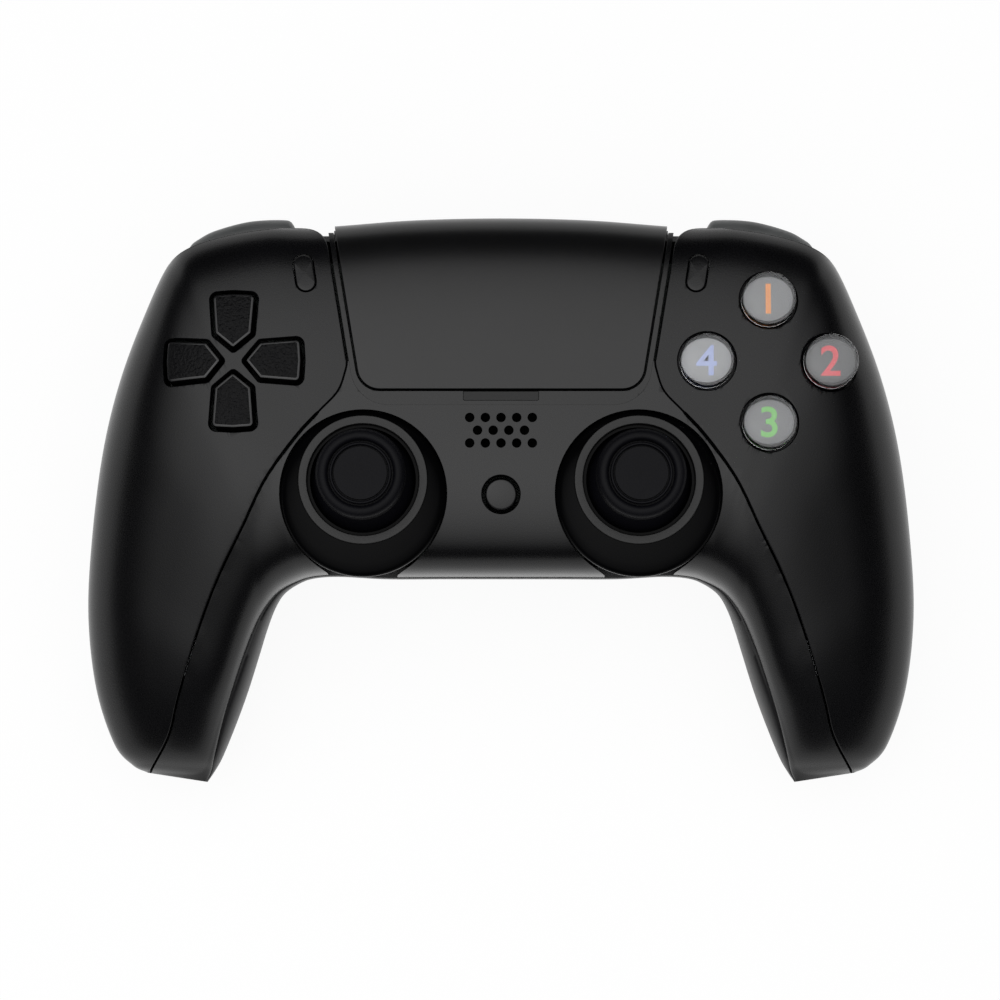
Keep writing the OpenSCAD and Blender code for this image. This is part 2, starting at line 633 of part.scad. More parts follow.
module rubber_dome(h, foot, head) {
    difference() {
        cylinder(h = h, d1 = foot, d2 = head);
        translate([0, 0, -1]) cylinder(h = h - 0.4, d1 = foot - 1.6, d2 = head - 1.6);
    }
}
module membrane_sheet(centre, spots, heights, post_d, post_h) {
    difference() {
        union() {
            translate(concat(centre, [board_top + touch])) linear_extrude(membrane_t) offset(r = 1.6)
                polygon([for (p = spots) p * (1 + 0.8 / norm(p))]);
            if (post_h > 0) translate(concat(centre, [board_top + touch])) cylinder(h = post_h, d = post_d);
        }
        for (p = spots) translate(concat(centre + p, [board_top - 1])) cylinder(h = 4, d = 5.4);
    }
    for (i = [0 : 3]) translate(concat(centre + spots[i], [board_top + touch]))
        rubber_dome(heights[i] - board_top - 2 * touch, dome_foot, 4);
}
module d_pad_membrane() {
    color(rubber_grey) membrane_sheet([-dpad_x, dpad_y], [for (a = pad_angles) 8 * [sin(a), cos(a)]],
        [for (a = pad_angles) plate_z], ball_d - 0.6, rock_z - ball_d / 2 - board_top - 2 * touch);
}

// Face buttons: round caps with a flange under the cover, on a rubber membrane
flange_t = 1.2;
function face_seat(i) = under_front(face_at(i)[0], face_at(i)[1], face_d / 2 + 1) - flange_t;
module face_button(i) {
    top = max(rim(face_at(i)[0], face_at(i)[1], face_d / 2)) + face_rise;
    crown = 0.7;
    r = face_d / 2;
    color(dark_grey) translate(concat(face_at(i), [0])) rotate_extrude() polygon(concat([[0, face_seat(i)],
        [r + 1, face_seat(i)], [r + 1, face_seat(i) + flange_t], [r, face_seat(i) + flange_t],
            [r, top - crown - 0.5]],
        [for (a = [0 : 15 : 90]) [r - 0.5 + 0.5 * cos(a), top - crown - 0.5 + 0.5 * sin(a)]],
        [for (f = [0.75, 0.5, 0.25]) [(r - 0.5) * f, top - crown * f * f]], [[0, top]]));
}
module face_button_north() face_button(0);
module face_button_east() face_button(1);
module face_button_south() face_button(2);
module face_button_west() face_button(3);
module face_membrane() {
    color(rubber_grey) membrane_sheet([face_x, face_y], [for (i = [0 : 3]) face_at(i) - [face_x, face_y]],
        [for (i = [0 : 3]) face_seat(i)], 1, 0);
}

// Pill buttons and home button, each over its own switch on the board
pill_seat = under_front(pill_x, pill_y, pill_l / 2 + 0.8) - 1;
module pill_button() {
    top = max(rim(pill_x, pill_y, pill_l / 2)) + 0.1;
    translate([0, 0, pill_seat + 1 - touch]) linear_extrude(top - pill_seat - 1) at_pill() pill_2d();
    translate([0, 0, pill_seat]) linear_extrude(1) at_pill() pill_2d(0.8);
    translate([pill_x, pill_y, board_top + switch_h + small_travel + touch])
        cylinder(h = pill_seat - board_top - switch_h - small_travel, d = 2.4);
}
module create_button() color(black) mirror([1, 0, 0]) pill_button();
module options_button() color(black) pill_button();
home_seat = under_front(0, home_y, home_d / 2 + 1) - 1;
module home_button() {
    r = home_d / 2;
    top = front_z(0, home_y) + 0.2;
    stem = board_top + switch_h + small_travel + touch;
    color(black) translate([0, home_y, 0]) rotate_extrude() polygon([[0, stem], [1.2, stem], [1.2, home_seat],
        [r + 1, home_seat], [r + 1, home_seat + 1], [r, home_seat + 1], [r, top - 0.4], [r - 0.4, top],
            [0, top]]);
}

// Thumb sticks: cap with its dome, lever, pivot block, gimbal ring and housing
neck_r = 4.4;
dome_t = 0.9;
bore_r = lever_d / 2 + 0.05;
boss_r = bore_r + 1.8;
lever_top = cap_top - 8;
function arc_rz(r, from, to, n) = [for (i = [0 : n]) let (a = from + (to - from) * i / n)
    r * [sin(a), cos(a)]];
module stick_cap() {
    rim_r = cap_d / 2;
    inner_r = dome_r - dome_t;
    rotate_extrude() polygon(concat([[bore_r, 5], [boss_r, 5]], arc_rz(inner_r, asin(boss_r / inner_r),
        88, 10),
        arc_rz(dome_r, 88, asin(neck_r / dome_r), 12), [[neck_r - 0.3, cap_top - 9], [neck_r, cap_top - 7.2],
        [neck_r + 1.2, cap_top - 6.2], [rim_r - 0.6, cap_top - 5.6], [rim_r, cap_top - 4.8],
            [rim_r, cap_top - 2.4]],
        [for (a = [15 : 15 : 90]) [rim_r - 1.7 + 1.7 * cos(a), cap_top - 2.2 + 2.2 * sin(a)]],
        [[rim_r - 2.1, cap_top - 0.3], [5.9, cap_top - 1], [5.75, cap_top - 0.8], [5.6, cap_top - 1],
            [0, cap_top - 1.1],
        [0, lever_top], [bore_r, lever_top]]));
}
module stick_ring() {
    rotate_extrude() polygon([[ring_r - ring_w, ring_seat + touch], [ring_r, ring_seat + touch],
        [ring_r, ring_top - 0.3],
        [ring_r - 0.3, ring_top], [ring_r - ring_w + 0.3, ring_top], [ring_r - ring_w, ring_top - 0.3]]);
}
block_r = 3;
trunnion_r = 0.9;
gimbal_r = 4.2;
gimbal_t = 1.4;
gimbal_h = 3;
housing_w = 14.2;
housing_top = 3.6;
lever_bottom = -3.4;
module stick_lever() translate([0, 0, lever_bottom]) cylinder(h = lever_top - lever_bottom - touch,
    d = lever_d);
module stick_pivot() {
    difference() {
        union() {
            cylinder(h = 4, r = block_r, center = true);
            rotate([90, 0, 0]) cylinder(h = 2 * (gimbal_r + gimbal_t), r = trunnion_r, center = true);
        }
        cylinder(h = 10, d = lever_d + 0.2, center = true);
    }
}
module stick_gimbal() {
    difference() {
        union() {
            cylinder(h = gimbal_h, r = gimbal_r + gimbal_t, center = true);
            rotate([0, 90, 0]) cylinder(h = housing_w, r = trunnion_r, center = true);
        }
        cylinder(h = 10, r = gimbal_r, center = true);
        rotate([90, 0, 0]) cylinder(h = 20, r = trunnion_r + 0.05, center = true);
    }
}
module stick_housing() {
    t = 0.8;
    base = board_top - pivot_z;
    difference() {
        translate([0, 0, base]) linear_extrude(housing_top - base) offset(r = 3)
            square(housing_w - 6, center = true);
        translate([0, 0, base + 1]) linear_extrude(housing_top - base - 1.8) offset(r = 2.4)
            square(housing_w - 2 * t - 4.8, center = true);
        cylinder(h = 20, r = 5.8);
        rotate([0, 90, 0]) cylinder(h = 30, r = trunnion_r + 0.05, center = true);
        translate([0, 0, base - 1]) cylinder(h = 4, r = 3.4);
    }
}
module stick_sensors() {
    sensor_w = 6.6;
    sensor_t = 1.9;
    for (a = [0, 90]) rotate(a) difference() {
        translate([housing_w / 2 + touch, -sensor_w / 2, -3.6]) cube([sensor_t, sensor_w, 6.4]);
        rotate([0, 90, 0]) cylinder(h = 30, r = 1);
    }
}
module left_at() translate([-stick_x, stick_y, pivot_z]) children();
module right_at() translate([stick_x, stick_y, pivot_z]) children();
module left_stick_cap() color(black) left_at() stick_cap();
module right_stick_cap() color(black) right_at() stick_cap();
module left_stick_ring() color(mid_grey) left_at() stick_ring();
module right_stick_ring() color(mid_grey) right_at() stick_ring();
module left_stick_lever() color(metal) left_at() stick_lever();
module right_stick_lever() color(metal) right_at() stick_lever();
module left_stick_pivot() color(rubber_grey) left_at() stick_pivot();
module right_stick_pivot() color(rubber_grey) right_at() stick_pivot();
module left_stick_gimbal() color(metal) left_at() stick_gimbal();
module right_stick_gimbal() color(metal) right_at() stick_gimbal();
module left_stick_housing() color(metal) left_at() stick_housing();
module right_stick_housing() color(metal) right_at() stick_housing();
module left_stick_sensors() color(board_green) left_at() mirror([1, 0, 0]) stick_sensors();
module right_stick_sensors() color(board_green) right_at() stick_sensors();
module stick_switches() {
    h = pivot_z + lever_bottom - 0.9 - board_top;
    color(mid_grey) for (side = [-1, 1]) translate([side * stick_x, stick_y, board_top]) {
        cylinder(h = h - 0.6, r = 3);
        cylinder(h = h, r = 1.4);
    }
}

// Boards, frame and what they carry
board_points = [[12, -12], [44, -9], [60, 8], [63.5, 20], [62, 32], [57, 42], [36, 42], [34, 45], [12, 45]];
module board_2d() polygon(concat(board_points,
    [for (i = [len(board_points) - 1 : -1 : 0]) [-board_points[i][0], board_points[i][1]]]));
module main_board() {
    color(board_green) difference() {
        translate([0, 0, board_bottom]) linear_extrude(board_t) board_2d();
        for (side = [-1, 1]) {
            for (p = board_screw_at) translate([side * p[0], p[1], 0])
                cylinder(h = 60, d = board_screw_d + 0.4);
            translate([side * case_screws[0][0], case_screws[0][1], 0]) cylinder(h = 60, d = case_boss_d + 1);
        }
    }
}
module inner_frame() {
    half_w = bay_x0 - 0.4;
    cheek_t = 1.2;
    color(dark_grey) difference() {
        union() {
            translate([-half_w, -11.5, frame_z]) cube([2 * half_w, 48.5, frame_t]);
            for (side = [-1, 1]) {
                for (p = board_screw_at) translate([side * p[0], p[1], frame_z])
                    cylinder(h = board_bottom - frame_z, d = 4.6);
                translate([side > 0 ? half_w - 1 : -bay_x1 + 0.2, bay_y + 0.4, frame_z])
                    cube([bay_x1 - 0.2 - half_w + 1, 3.4, frame_t]);
                for (x = [bay_x0 + 0.2, bay_x1 - 0.2 - cheek_t])
                    translate([side > 0 ? x : -x - cheek_t, 0, 0]) rotate([90, 0, 90])
                    linear_extrude(cheek_t) polygon([[bay_y + 0.4, frame_z + frame_t], [bay_y + 0.4, frame_z],
                        [pin_y - 3, pin_z - 3], [pin_y + 3, pin_z - 3], [pin_y + 3, frame_z + frame_t]]);
            }
        }
        for (side = [-1, 1]) {
            for (p = board_screw_at) translate([side * p[0], p[1], 0])
                cylinder(h = 60, d = board_screw_d + 0.4);
            translate([side * case_screws[0][0], case_screws[0][1], 0]) cylinder(h = 60, d = case_boss_d + 1);
        }
        translate([-100, pin_y, pin_z]) rotate([0, 90, 0]) cylinder(h = 200, d = pin_d);
        translate([-10, -20, 0]) cube([20, 20.6 + jack_back_y, 60]);
    }
}
module battery() {
    r = 3;
    color("#4a4d55") translate([0, battery_y - battery_d / 2, battery_z]) rotate([-90, 0, 0])
        linear_extrude(battery_d)
        offset(r = r) translate([-battery_w / 2 + r, -battery_h + r])
            square([battery_w - 2 * r, battery_h - 2 * r]);
}
module port_board() {
    color(board_green) translate([-10, 38.6, port_board_z + touch]) cube([20, 9, 1.1]);
}
module charging_socket() {
    color(metal) translate([0, 45, socket_z]) rotate([-90, 0, 0]) difference() {
        linear_extrude(7.6) socket_2d();
        translate([0, 0, 1]) linear_extrude(10) socket_2d(-0.3);
    }
    color(metal) translate([-3.2, 45.9, socket_z - 0.35]) cube([6.4, 5.6, 0.7]);
}
module headphone_jack() {
    color(dark_grey) difference() {
        union() {
            translate([-jack_w / 2, jack_mouth_y + jack_nose_l, jack_z - jack_h / 2])
                cube([jack_w, jack_back_y - jack_mouth_y - jack_nose_l, jack_h]);
            translate([0, jack_mouth_y, jack_z]) rotate([-90, 0, 0])
                cylinder(h = jack_nose_l + 1, d = jack_nose_d);
        }
        translate([0, jack_mouth_y - 1, jack_z]) rotate([-90, 0, 0]) cylinder(h = jack_l, d = jack_d);
    }
}
module loudspeaker() {
    magnet_d = 13;
    cone_d = 9;
    frame = [18, 10, 2];
    speaker_h = 4;
    top = front_z(0, sound_y[0] - speaker_h) - wall - 2 * touch;
    color(dark_grey) translate([0, sound_y[1], top - speaker_h]) {
        cylinder(h = speaker_h - 1, d = magnet_d);
        difference() {
            translate([-frame[0] / 2, -frame[1] / 2, speaker_h - frame[2]]) cube(frame);
            translate([0, 0, speaker_h - 1]) cylinder(h = speaker_h, d = cone_d);
        }
    }
}

// Rumble motors with half-round weights
shaft_d = 2;
module motor() {
    translate([motor_x, motor_y, motor_z]) rotate([90, 0, 0]) difference() {
        union() {
            cylinder(h = motor_l, d = motor_d);
            cylinder(h = motor_l + 1, d = 6);
        }
        translate([0, 0, motor_l - 4]) cylinder(h = 10, d = shaft_d + 0.2);
    }
}
module motor_weight() {
    translate([motor_x, motor_y - motor_l - 1.4, motor_z]) rotate([90, 0, 0]) {
        intersection() {
            cylinder(h = 7, d = motor_d - 1);
            translate([-20, -20, 0]) cube([40, 21.6, 10]);
        }
        translate([0, 0, -5]) cylinder(h = 12.6, d = shaft_d);
    }
}
module left_motor() color(metal) mirror([1, 0, 0]) motor();
module right_motor() color(metal) motor();
module left_motor_weight() color("#8f8a80") mirror([1, 0, 0]) motor_weight();
module right_motor_weight() color("#8f8a80") motor_weight();

// Switches and screws
module tact(h) {
    translate([-2, -2, 0]) cube([4, 4, h - 0.8]);
    cylinder(h = h, r = 1);
}
module tact_switches() {
    color(mid_grey) for (p = [[-pill_x, pill_y], [pill_x, pill_y], [0, home_y], [0, pad_pin_y]])
        translate(concat(p, [board_top])) tact(switch_h);
}
module bumper_switches() {
    color(mid_grey) for (side = [-1, 1]) translate([side * (shoulder_x0 + shoulder_x1) / 2, 0, board_top]) {
        translate([-2.5, bumper_switch_y, 0]) cube([5, switch_l - 1.2, 3]);
        translate([-1.2, bumper_switch_y + 1, 0.6]) cube([2.4, switch_l - 1, 1.8]);
    }
}
module rear_screws() {
    color(metal) for (side = [-1, 1], p = case_screws) translate([side * p[0], p[1], case_seat(p) - 1.6]) {
        cylinder(h = 1.6, d = 4);
        cylinder(h = 9.6, d = case_screw_d);
    }
}
module board_screws() {
    color(metal) for (side = [-1, 1], p = board_screw_at) translate([side * p[0], p[1], 0]) {
        translate([0, 0, board_top]) cylinder(h = 1.2, d = 3.4);
        translate([0, 0, frame_z - 4.5]) cylinder(h = board_top - frame_z + 4.6, d = board_screw_d);
    }
}

left_wing_cover();
right_wing_cover();
centre_fascia();
rear_shell();
light_guide();
indicator_window();
touchpad();
left_bumper();
right_bumper();
left_trigger();
right_trigger();
trigger_pins();
left_trigger_spring();
right_trigger_spring();
d_pad();
d_pad_pivot();
d_pad_membrane();
face_button_north();
face_button_east();
face_button_south();
face_button_west();
face_membrane();
create_button();
options_button();
home_button();
left_stick_cap();
right_stick_cap();
left_stick_ring();
right_stick_ring();
left_stick_lever();
right_stick_lever();
left_stick_pivot();
right_stick_pivot();
left_stick_gimbal();
right_stick_gimbal();
left_stick_housing();
right_stick_housing();
left_stick_sensors();
right_stick_sensors();
stick_switches();
main_board();
inner_frame();
battery();
port_board();
charging_socket();
headphone_jack();
loudspeaker();
left_motor();
right_motor();
left_motor_weight();
right_motor_weight();
tact_switches();
bumper_switches();
rear_screws();
board_screws();
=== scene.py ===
import math

import bmesh
import bpy
import numpy as np
from mathutils import Matrix, Vector


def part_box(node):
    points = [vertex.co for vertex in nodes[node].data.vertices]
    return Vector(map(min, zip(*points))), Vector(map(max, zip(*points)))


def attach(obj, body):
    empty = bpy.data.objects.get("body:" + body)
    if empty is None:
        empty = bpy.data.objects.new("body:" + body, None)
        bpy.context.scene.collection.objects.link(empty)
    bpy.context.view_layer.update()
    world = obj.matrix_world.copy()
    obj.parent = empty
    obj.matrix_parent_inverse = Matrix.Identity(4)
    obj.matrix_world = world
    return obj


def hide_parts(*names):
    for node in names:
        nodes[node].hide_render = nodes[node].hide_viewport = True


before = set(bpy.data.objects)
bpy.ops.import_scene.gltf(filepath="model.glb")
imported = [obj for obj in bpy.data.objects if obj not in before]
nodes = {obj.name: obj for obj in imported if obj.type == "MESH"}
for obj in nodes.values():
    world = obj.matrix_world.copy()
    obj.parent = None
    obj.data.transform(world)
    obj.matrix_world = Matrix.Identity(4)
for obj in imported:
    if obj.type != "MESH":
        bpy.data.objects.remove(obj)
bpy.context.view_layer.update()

# Rear shell: the tray that the palms hold, moulded in black ABS with a fine spark-eroded grain.
# It is lofted through the same stations as the solid body, hollowed to one wall, then cut for the triggers,
# the two sockets and the four screw wells. The covers are screwed down on its bosses.
MM = 0.001
FACE_Z = 51.0
WALL = 2.0
PARTING_GAP = 0.12
# Outer edge x y z, inner edge x y z, crown drop, underside height, front and rear fullness, lip in and up
STATIONS = np.array([
    [0.0, 53.3, 34.0, 0.0, -15.5, 33.0, 0.0, 16.0, 3.6, 2.6, 0.2, 1.0],
    [17.0, 52.9, 34.0, 11.0, -15.5, 33.0, 0.0, 16.0, 3.6, 2.6, 0.2, 1.0],
    [34.4, 51.6, 34.0, 22.0, -15.5, 33.0, 0.0, 15.5, 3.6, 2.6, 0.2, 1.0],
    [46.0, 51.6, 34.0, 31.0, -15.0, 32.5, 0.0, 14.0, 3.5, 2.5, 0.2, 1.0],
    [58.8, 49.0, 33.5, 36.0, -15.3, 32.0, 0.0, 12.0, 3.3, 2.5, 0.2, 1.0],
    [63.7, 44.9, 32.5, 39.0, -16.3, 31.0, 0.2, 9.5, 3.0, 2.4, 0.3, 1.4],
    [68.3, 35.6, 31.5, 41.8, -18.1, 29.5, 1.0, 7.0, 2.8, 2.4, 0.6, 2.4],
    [73.2, 23.1, 30.0, 43.6, -20.8, 28.0, 3.0, 4.8, 2.6, 2.3, 1.2, 4.0],
    [76.7, 9.7, 28.0, 45.2, -24.6, 26.0, 6.0, 2.8, 2.5, 2.3, 1.8, 6.0],
    [79.0, -6.5, 25.5, 47.0, -30.0, 23.5, 10.0, 1.3, 2.4, 2.2, 2.2, 7.0],
    [80.0, -21.8, 22.5, 49.2, -36.5, 21.0, 14.5, 0.4, 2.3, 2.2, 2.3, 7.0],
    [78.7, -35.9, 19.5, 51.7, -42.8, 18.0, 20.0, 0.2, 2.2, 2.2, 2.0, 6.0],
    [75.4, -46.6, 16.5, 54.4, -49.0, 15.5, 26.0, 2.0, 2.2, 2.2, 1.2, 4.0],
    [71.9, -50.7, 15.0, 56.0, -51.8, 14.5, 30.5, 5.5, 2.2, 2.2, 0.5, 1.5],
    [69.1, -52.1, 14.4, 57.4, -53.9, 14.0, 34.6, 11.2, 2.2, 2.2, 0.2, 0.6]])
TIP = len(STATIONS) - 1
HOLLOW_END = TIP - 1.4
OPPOSITE = np.array([-1, 1, 1, -1, 1, 1, 1, 1, 1, 1, 1, 1])
RING_STEP = 0.1
ARC_STEPS = 56
LIP_STEPS = 6


def between(a, b, c, d, t):
    """Smooth curve from b to c, with a before and d after."""
    return 0.5 * (2 * b + (c - a) * t + (2 * a - 5 * b + 4 * c - d) * t**2 + (3 * b - a - 3 * c + d) * t**3)


def stations_at(places):
    """Station rows at places along the body, which are negative on the left."""
    away = np.abs(np.asarray(places, float))
    k = np.clip(away.astype(int), 0, TIP - 1)
    before = np.where((k > 0)[:, None], STATIONS[np.maximum(k - 1, 0)], STATIONS[1] * OPPOSITE)
    beyond = 2 * STATIONS[TIP] - STATIONS[TIP - 1]
    after = np.where((k < TIP - 1)[:, None], STATIONS[np.minimum(k + 2, TIP)], beyond)
    rows = between(before, STATIONS[k], STATIONS[k + 1], after, (away - k)[:, None])
    return np.where((np.asarray(places) < 0)[:, None], rows * OPPOSITE, rows)


def front_edge(rows):
    """Outer end, inner end and their heights where the front half starts."""
    outer, inner = rows[:, 0:2], rows[:, 3:5]
    across = (outer - inner) / np.linalg.norm(outer - inner, axis=1)[:, None]
    return outer, rows[:, 2], inner + across * rows[:, 10:11], rows[:, 5] + rows[:, 11]


def section(a, za, b, zb, peak, fullness, inset, angles):
    """Rings of rounded section over the chords from a to b."""
    half = np.linalg.norm(a - b, axis=1) / 2
    power = 2 / fullness[:, None]
    along = np.sign(np.cos(angles)) * np.abs(np.cos(angles)) ** power * (1 - inset / half)[:, None]
    up = np.abs(np.sin(angles)) ** power
    middle = ((za + zb) / 2)[:, None]
    reach = (peak - np.sign(peak - middle[:, 0]) * inset)[:, None] - middle
    xy = ((a + b) / 2)[:, None, :] + ((a - b) / 2)[:, None, :] * along[:, :, None]
    z = middle + ((za - zb) / 2)[:, None] * along + up * reach
    return np.concatenate([xy, z[:, :, None]], axis=2)


def rear_rings(start, end, inset=0.0, lift=0.0):
    """Rings of the rear half, with the lip that meets the front half on the inner side."""
    rows = stations_at(np.linspace(start, end, math.ceil((end - start) / RING_STEP) + 1))
    outer, inner = rows[:, 0:2], rows[:, 3:5]
    across = (outer - inner) / np.linalg.norm(outer - inner, axis=1)[:, None]
    angles = np.linspace(math.pi, 2 * math.pi, ARC_STEPS + 1)
    under = section(outer, rows[:, 2] - PARTING_GAP, inner, rows[:, 5] - PARTING_GAP, rows[:, 7], rows[:, 9],
                    inset, angles)
    lip = []
    for a in np.linspace(math.pi / 2, 0, LIP_STEPS, endpoint=False):
        xy = inner + across * (inset + rows[:, 10:11] * (1 - math.cos(a)))
        lip.append(np.column_stack([xy, rows[:, 5] - PARTING_GAP + rows[:, 11] * math.sin(a)]))
    rings = np.concatenate([np.stack(lip, axis=1), under], axis=1)
    if lift:
        raised = rings[:, [0, -1]] + [0, 0, lift]
        rings = np.concatenate([raised[:, :1], rings, raised[:, 1:]], axis=1)
    return rings


def solid(name, points, faces):
    """New object from points in millimetres, welded, with its faces turned outwards."""
    mesh = bpy.data.meshes.new(name)
    mesh.from_pydata((np.asarray(points) * MM).tolist(), [], faces)
    bm = bmesh.new()
    bm.from_mesh(mesh)
    bmesh.ops.remove_doubles(bm, verts=bm.verts, dist=1e-8)
    bmesh.ops.recalc_face_normals(bm, faces=bm.faces)
    bm.to_mesh(mesh)
    bm.free()
    piece = bpy.data.objects.new(name, mesh)
    bpy.context.scene.collection.objects.link(piece)
    return piece


def loft(name, rings, looped=False):
    """Closed solid through a row of rings. A looped row joins its last ring to its first."""
    rings = np.asarray(rings, float)
    count, around = rings.shape[:2]
    faces = []
    for i in range(count if looped else count - 1):
        for j in range(around):
            a, b = i * around, (i + 1) % count * around
            faces.append((a + j, a + (j + 1) % around, b + (j + 1) % around, b + j))
    if not looped:
        faces.append(tuple(range(around)))
        faces.append(tuple(range((count - 1) * around, count * around)))
    return solid(name, rings.reshape(-1, 3), faces)


def bake(piece):
    """Turns the piece's modifiers into plain mesh."""
    mesh = bpy.data.meshes.new_from_object(piece.evaluated_get(bpy.context.evaluated_depsgraph_get()))
    piece.modifiers.clear()
    piece.data = mesh
    mesh.name = piece.name
    return piece


def carve(piece, tools, operation="DIFFERENCE"):
    """Cuts tools from the piece, or joins or keeps what they share, and removes the tools."""
    for tool in tools:
        cut = piece.modifiers.new("cut", "BOOLEAN")
        cut.solver = "MANIFOLD"
        cut.operation = operation
        cut.object = tool
    bake(piece)
    for tool in tools:
        bpy.data.objects.remove(tool)
    return piece


def join(name, pieces):
    """One object that holds the meshes of several."""
    bm = bmesh.new()
    for piece in pieces:
        bm.from_mesh(piece.data)
        bpy.data.objects.remove(piece)
    mesh = bpy.data.meshes.new(name)
    bm.to_mesh(mesh)
    bm.free()
    joined = bpy.data.objects.new(name, mesh)
    bpy.context.scene.collection.objects.link(joined)
    return joined


def smooth(piece, crease=32):
    """Smooth shading that keeps real edges, with the small faces along a cut given little weight."""
    bm = bmesh.new()
    bm.from_mesh(piece.data)
    bmesh.ops.remove_doubles(bm, verts=bm.verts, dist=2e-6)
    bmesh.ops.dissolve_degenerate(bm, edges=bm.edges, dist=1e-6)
    bm.to_mesh(piece.data)
    bm.free()
    piece.data.shade_smooth()
    piece.data.set_sharp_from_angle(angle=math.radians(crease))
    weighted = piece.modifiers.new("weighted", "WEIGHTED_NORMAL")
    weighted.keep_sharp = True
    return bake(piece)


def block(name, low, high):
    """Plain block used as a cutting tool."""
    x, y, z = zip(low, high)
    rings = [[(x[0], y[0], h), (x[1], y[0], h), (x[1], y[1], h), (x[0], y[1], h)] for h in z]
    return loft(name, rings)


def circle(centre, radius, z, around=72):
    """Points of a level circle."""
    turn = np.linspace(0, 2 * math.pi, around, endpoint=False)
    x, y = centre[0] + radius * np.cos(turn), centre[1] + radius * np.sin(turn)
    return np.column_stack([x, y, np.full(around, z)])


def turned(name, profile, centre=(0, 0), around=96, looped=False):
    """Solid of revolution about an upright axis, from (radius, height) points."""
    return loft(name, [circle(centre, max(r, 1e-7), z, around) for r, z in profile], looped)


def finish(name, colour, roughness, grain=0.3, depth=0.02, specular=0.29, drift=0.2, **sockets):
    """Moulded finish. Colour drifts slowly over the piece, and a fine grain moves the gloss and the surface.
    Grain is the size of its cells and depth their height, in millimetres."""
    material = bpy.data.materials.new(name)
    material.use_nodes = True
    tree = material.node_tree
    shader = tree.nodes["Principled BSDF"]
    place = tree.nodes.new("ShaderNodeTexCoord").outputs["Object"]

    def noise(size, detail):
        node = tree.nodes.new("ShaderNodeTexNoise")
        node.inputs["Scale"].default_value = 1 / (size * MM)
        node.inputs["Detail"].default_value = detail
        tree.links.new(place, node.inputs["Vector"])
        return node.outputs["Fac"]

    def spread(value, low, high):
        node = tree.nodes.new("ShaderNodeMapRange")
        node.inputs["From Min"].default_value = 0.3
        node.inputs["From Max"].default_value = 0.7
        node.inputs["To Min"].default_value = low
        node.inputs["To Max"].default_value = high
        tree.links.new(value, node.inputs["Value"])
        return node.outputs["Result"]

    fine = noise(grain, 2)
    ramp = tree.nodes.new("ShaderNodeValToRGB")
    for element, level in zip(ramp.color_ramp.elements, (1 - drift, 1 + drift)):
        element.color = [c * level for c in colour] + [1]
    tree.links.new(spread(noise(9, 3), 0, 1), ramp.inputs["Fac"])
    tree.links.new(ramp.outputs["Color"], shader.inputs["Base Color"])
    tree.links.new(spread(fine, roughness * 0.93, roughness * 1.07), shader.inputs["Roughness"])
    bump = tree.nodes.new("ShaderNodeBump")
    bump.inputs["Strength"].default_value = 1.0
    bump.inputs["Distance"].default_value = depth * MM
    tree.links.new(fine, bump.inputs["Height"])
    tree.links.new(bump.outputs["Normal"], shader.inputs["Normal"])
    shader.inputs["Specular IOR Level"].default_value = specular
    for socket, value in sockets.items():
        shader.inputs[socket.replace("_", " ")].default_value = value
    return material


def place_piece(piece, material, body, slot, *replaced):
    """Gives a finished piece its material and body, and hides the solids it stands for. The record slot is
    not used.
    """
    piece.data.materials.clear()
    piece.data.materials.append(material)
    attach(piece, body)
    if replaced:
        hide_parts(*replaced)
    return piece


SHOULDER_X = (39.8, 59.4)
BAY_SIDE = 1.8
BAY_Y = 32.0
NOTCH = (32.2, 50.7)
CASE_SCREWS = [(34.2, 32.5), (69.0, -41.0)]
SCREW_HEAD_H = 1.6
SCREW_L = 9.6
WELL_R = 2.4
BOSS_R = 3.3
BOSS_SPAN = (1.9, 3.9)
PILOT_R = 1.2
JACK_Z = 26.0
JACK_HOLE_R = 3.4
SOCKET_Z = 28.0
SOCKET_HALF = (4.75, 1.9)

rear_grain = finish("rear_grain", (0.0025, 0.0025, 0.003), 0.4, grain=0.35, depth=0.03)
rear_shell = loft("rear_shell_skin", rear_rings(-TIP, TIP))
cuts = [loft("hollow", rear_rings(-HOLLOW_END, HOLLOW_END, WALL, 9))]
for side in (-1, 1):
    far = SHOULDER_X[1] + BAY_SIDE
    for near, start in ((SHOULDER_X[0] - BAY_SIDE, BAY_Y), NOTCH):
        x = sorted((side * near, side * far))
        cuts.append(block("bay", (x[0], start, -1), (x[1], 80, 60)))
carve(rear_shell, cuts)
screw_low, screw_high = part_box("rear_screws")
screw_seats = [screw_high.z / MM - SCREW_L + SCREW_HEAD_H, screw_low.z / MM + SCREW_HEAD_H]
screw_points, bosses, wells = [], [], []
for side in (-1, 1):
    for (x, y), seat in zip(CASE_SCREWS, screw_seats):
        spot = (side * x, y)
        screw_points.append((*spot, seat - SCREW_HEAD_H))
        foot, head = seat - BOSS_SPAN[0], seat + BOSS_SPAN[1]
        tube = [(0, foot), (BOSS_R, foot), (BOSS_R, head), (0, head)]
        bosses.append(turned("boss", tube, spot, 48))
        bore = [(0, -1), (WELL_R, -1), (WELL_R, seat), (PILOT_R, seat), (PILOT_R, seat + 6), (0, seat + 6)]
        wells.append(turned("well", bore, spot, 48))
carve(rear_shell, bosses, "UNION")
turn = np.linspace(0, 2 * math.pi, 48, endpoint=False)
jack_x, jack_z = JACK_HOLE_R * np.cos(turn), JACK_Z + JACK_HOLE_R * np.sin(turn)
jack_rings = [np.column_stack([jack_x, np.full(48, y), jack_z]) for y in (-25.0, -9.0)]
flat = SOCKET_HALF[0] - SOCKET_HALF[1]
socket_x = SOCKET_HALF[1] * np.cos(turn) + flat * np.sign(np.cos(turn))
socket_z = SOCKET_Z + SOCKET_HALF[1] * np.sin(turn)
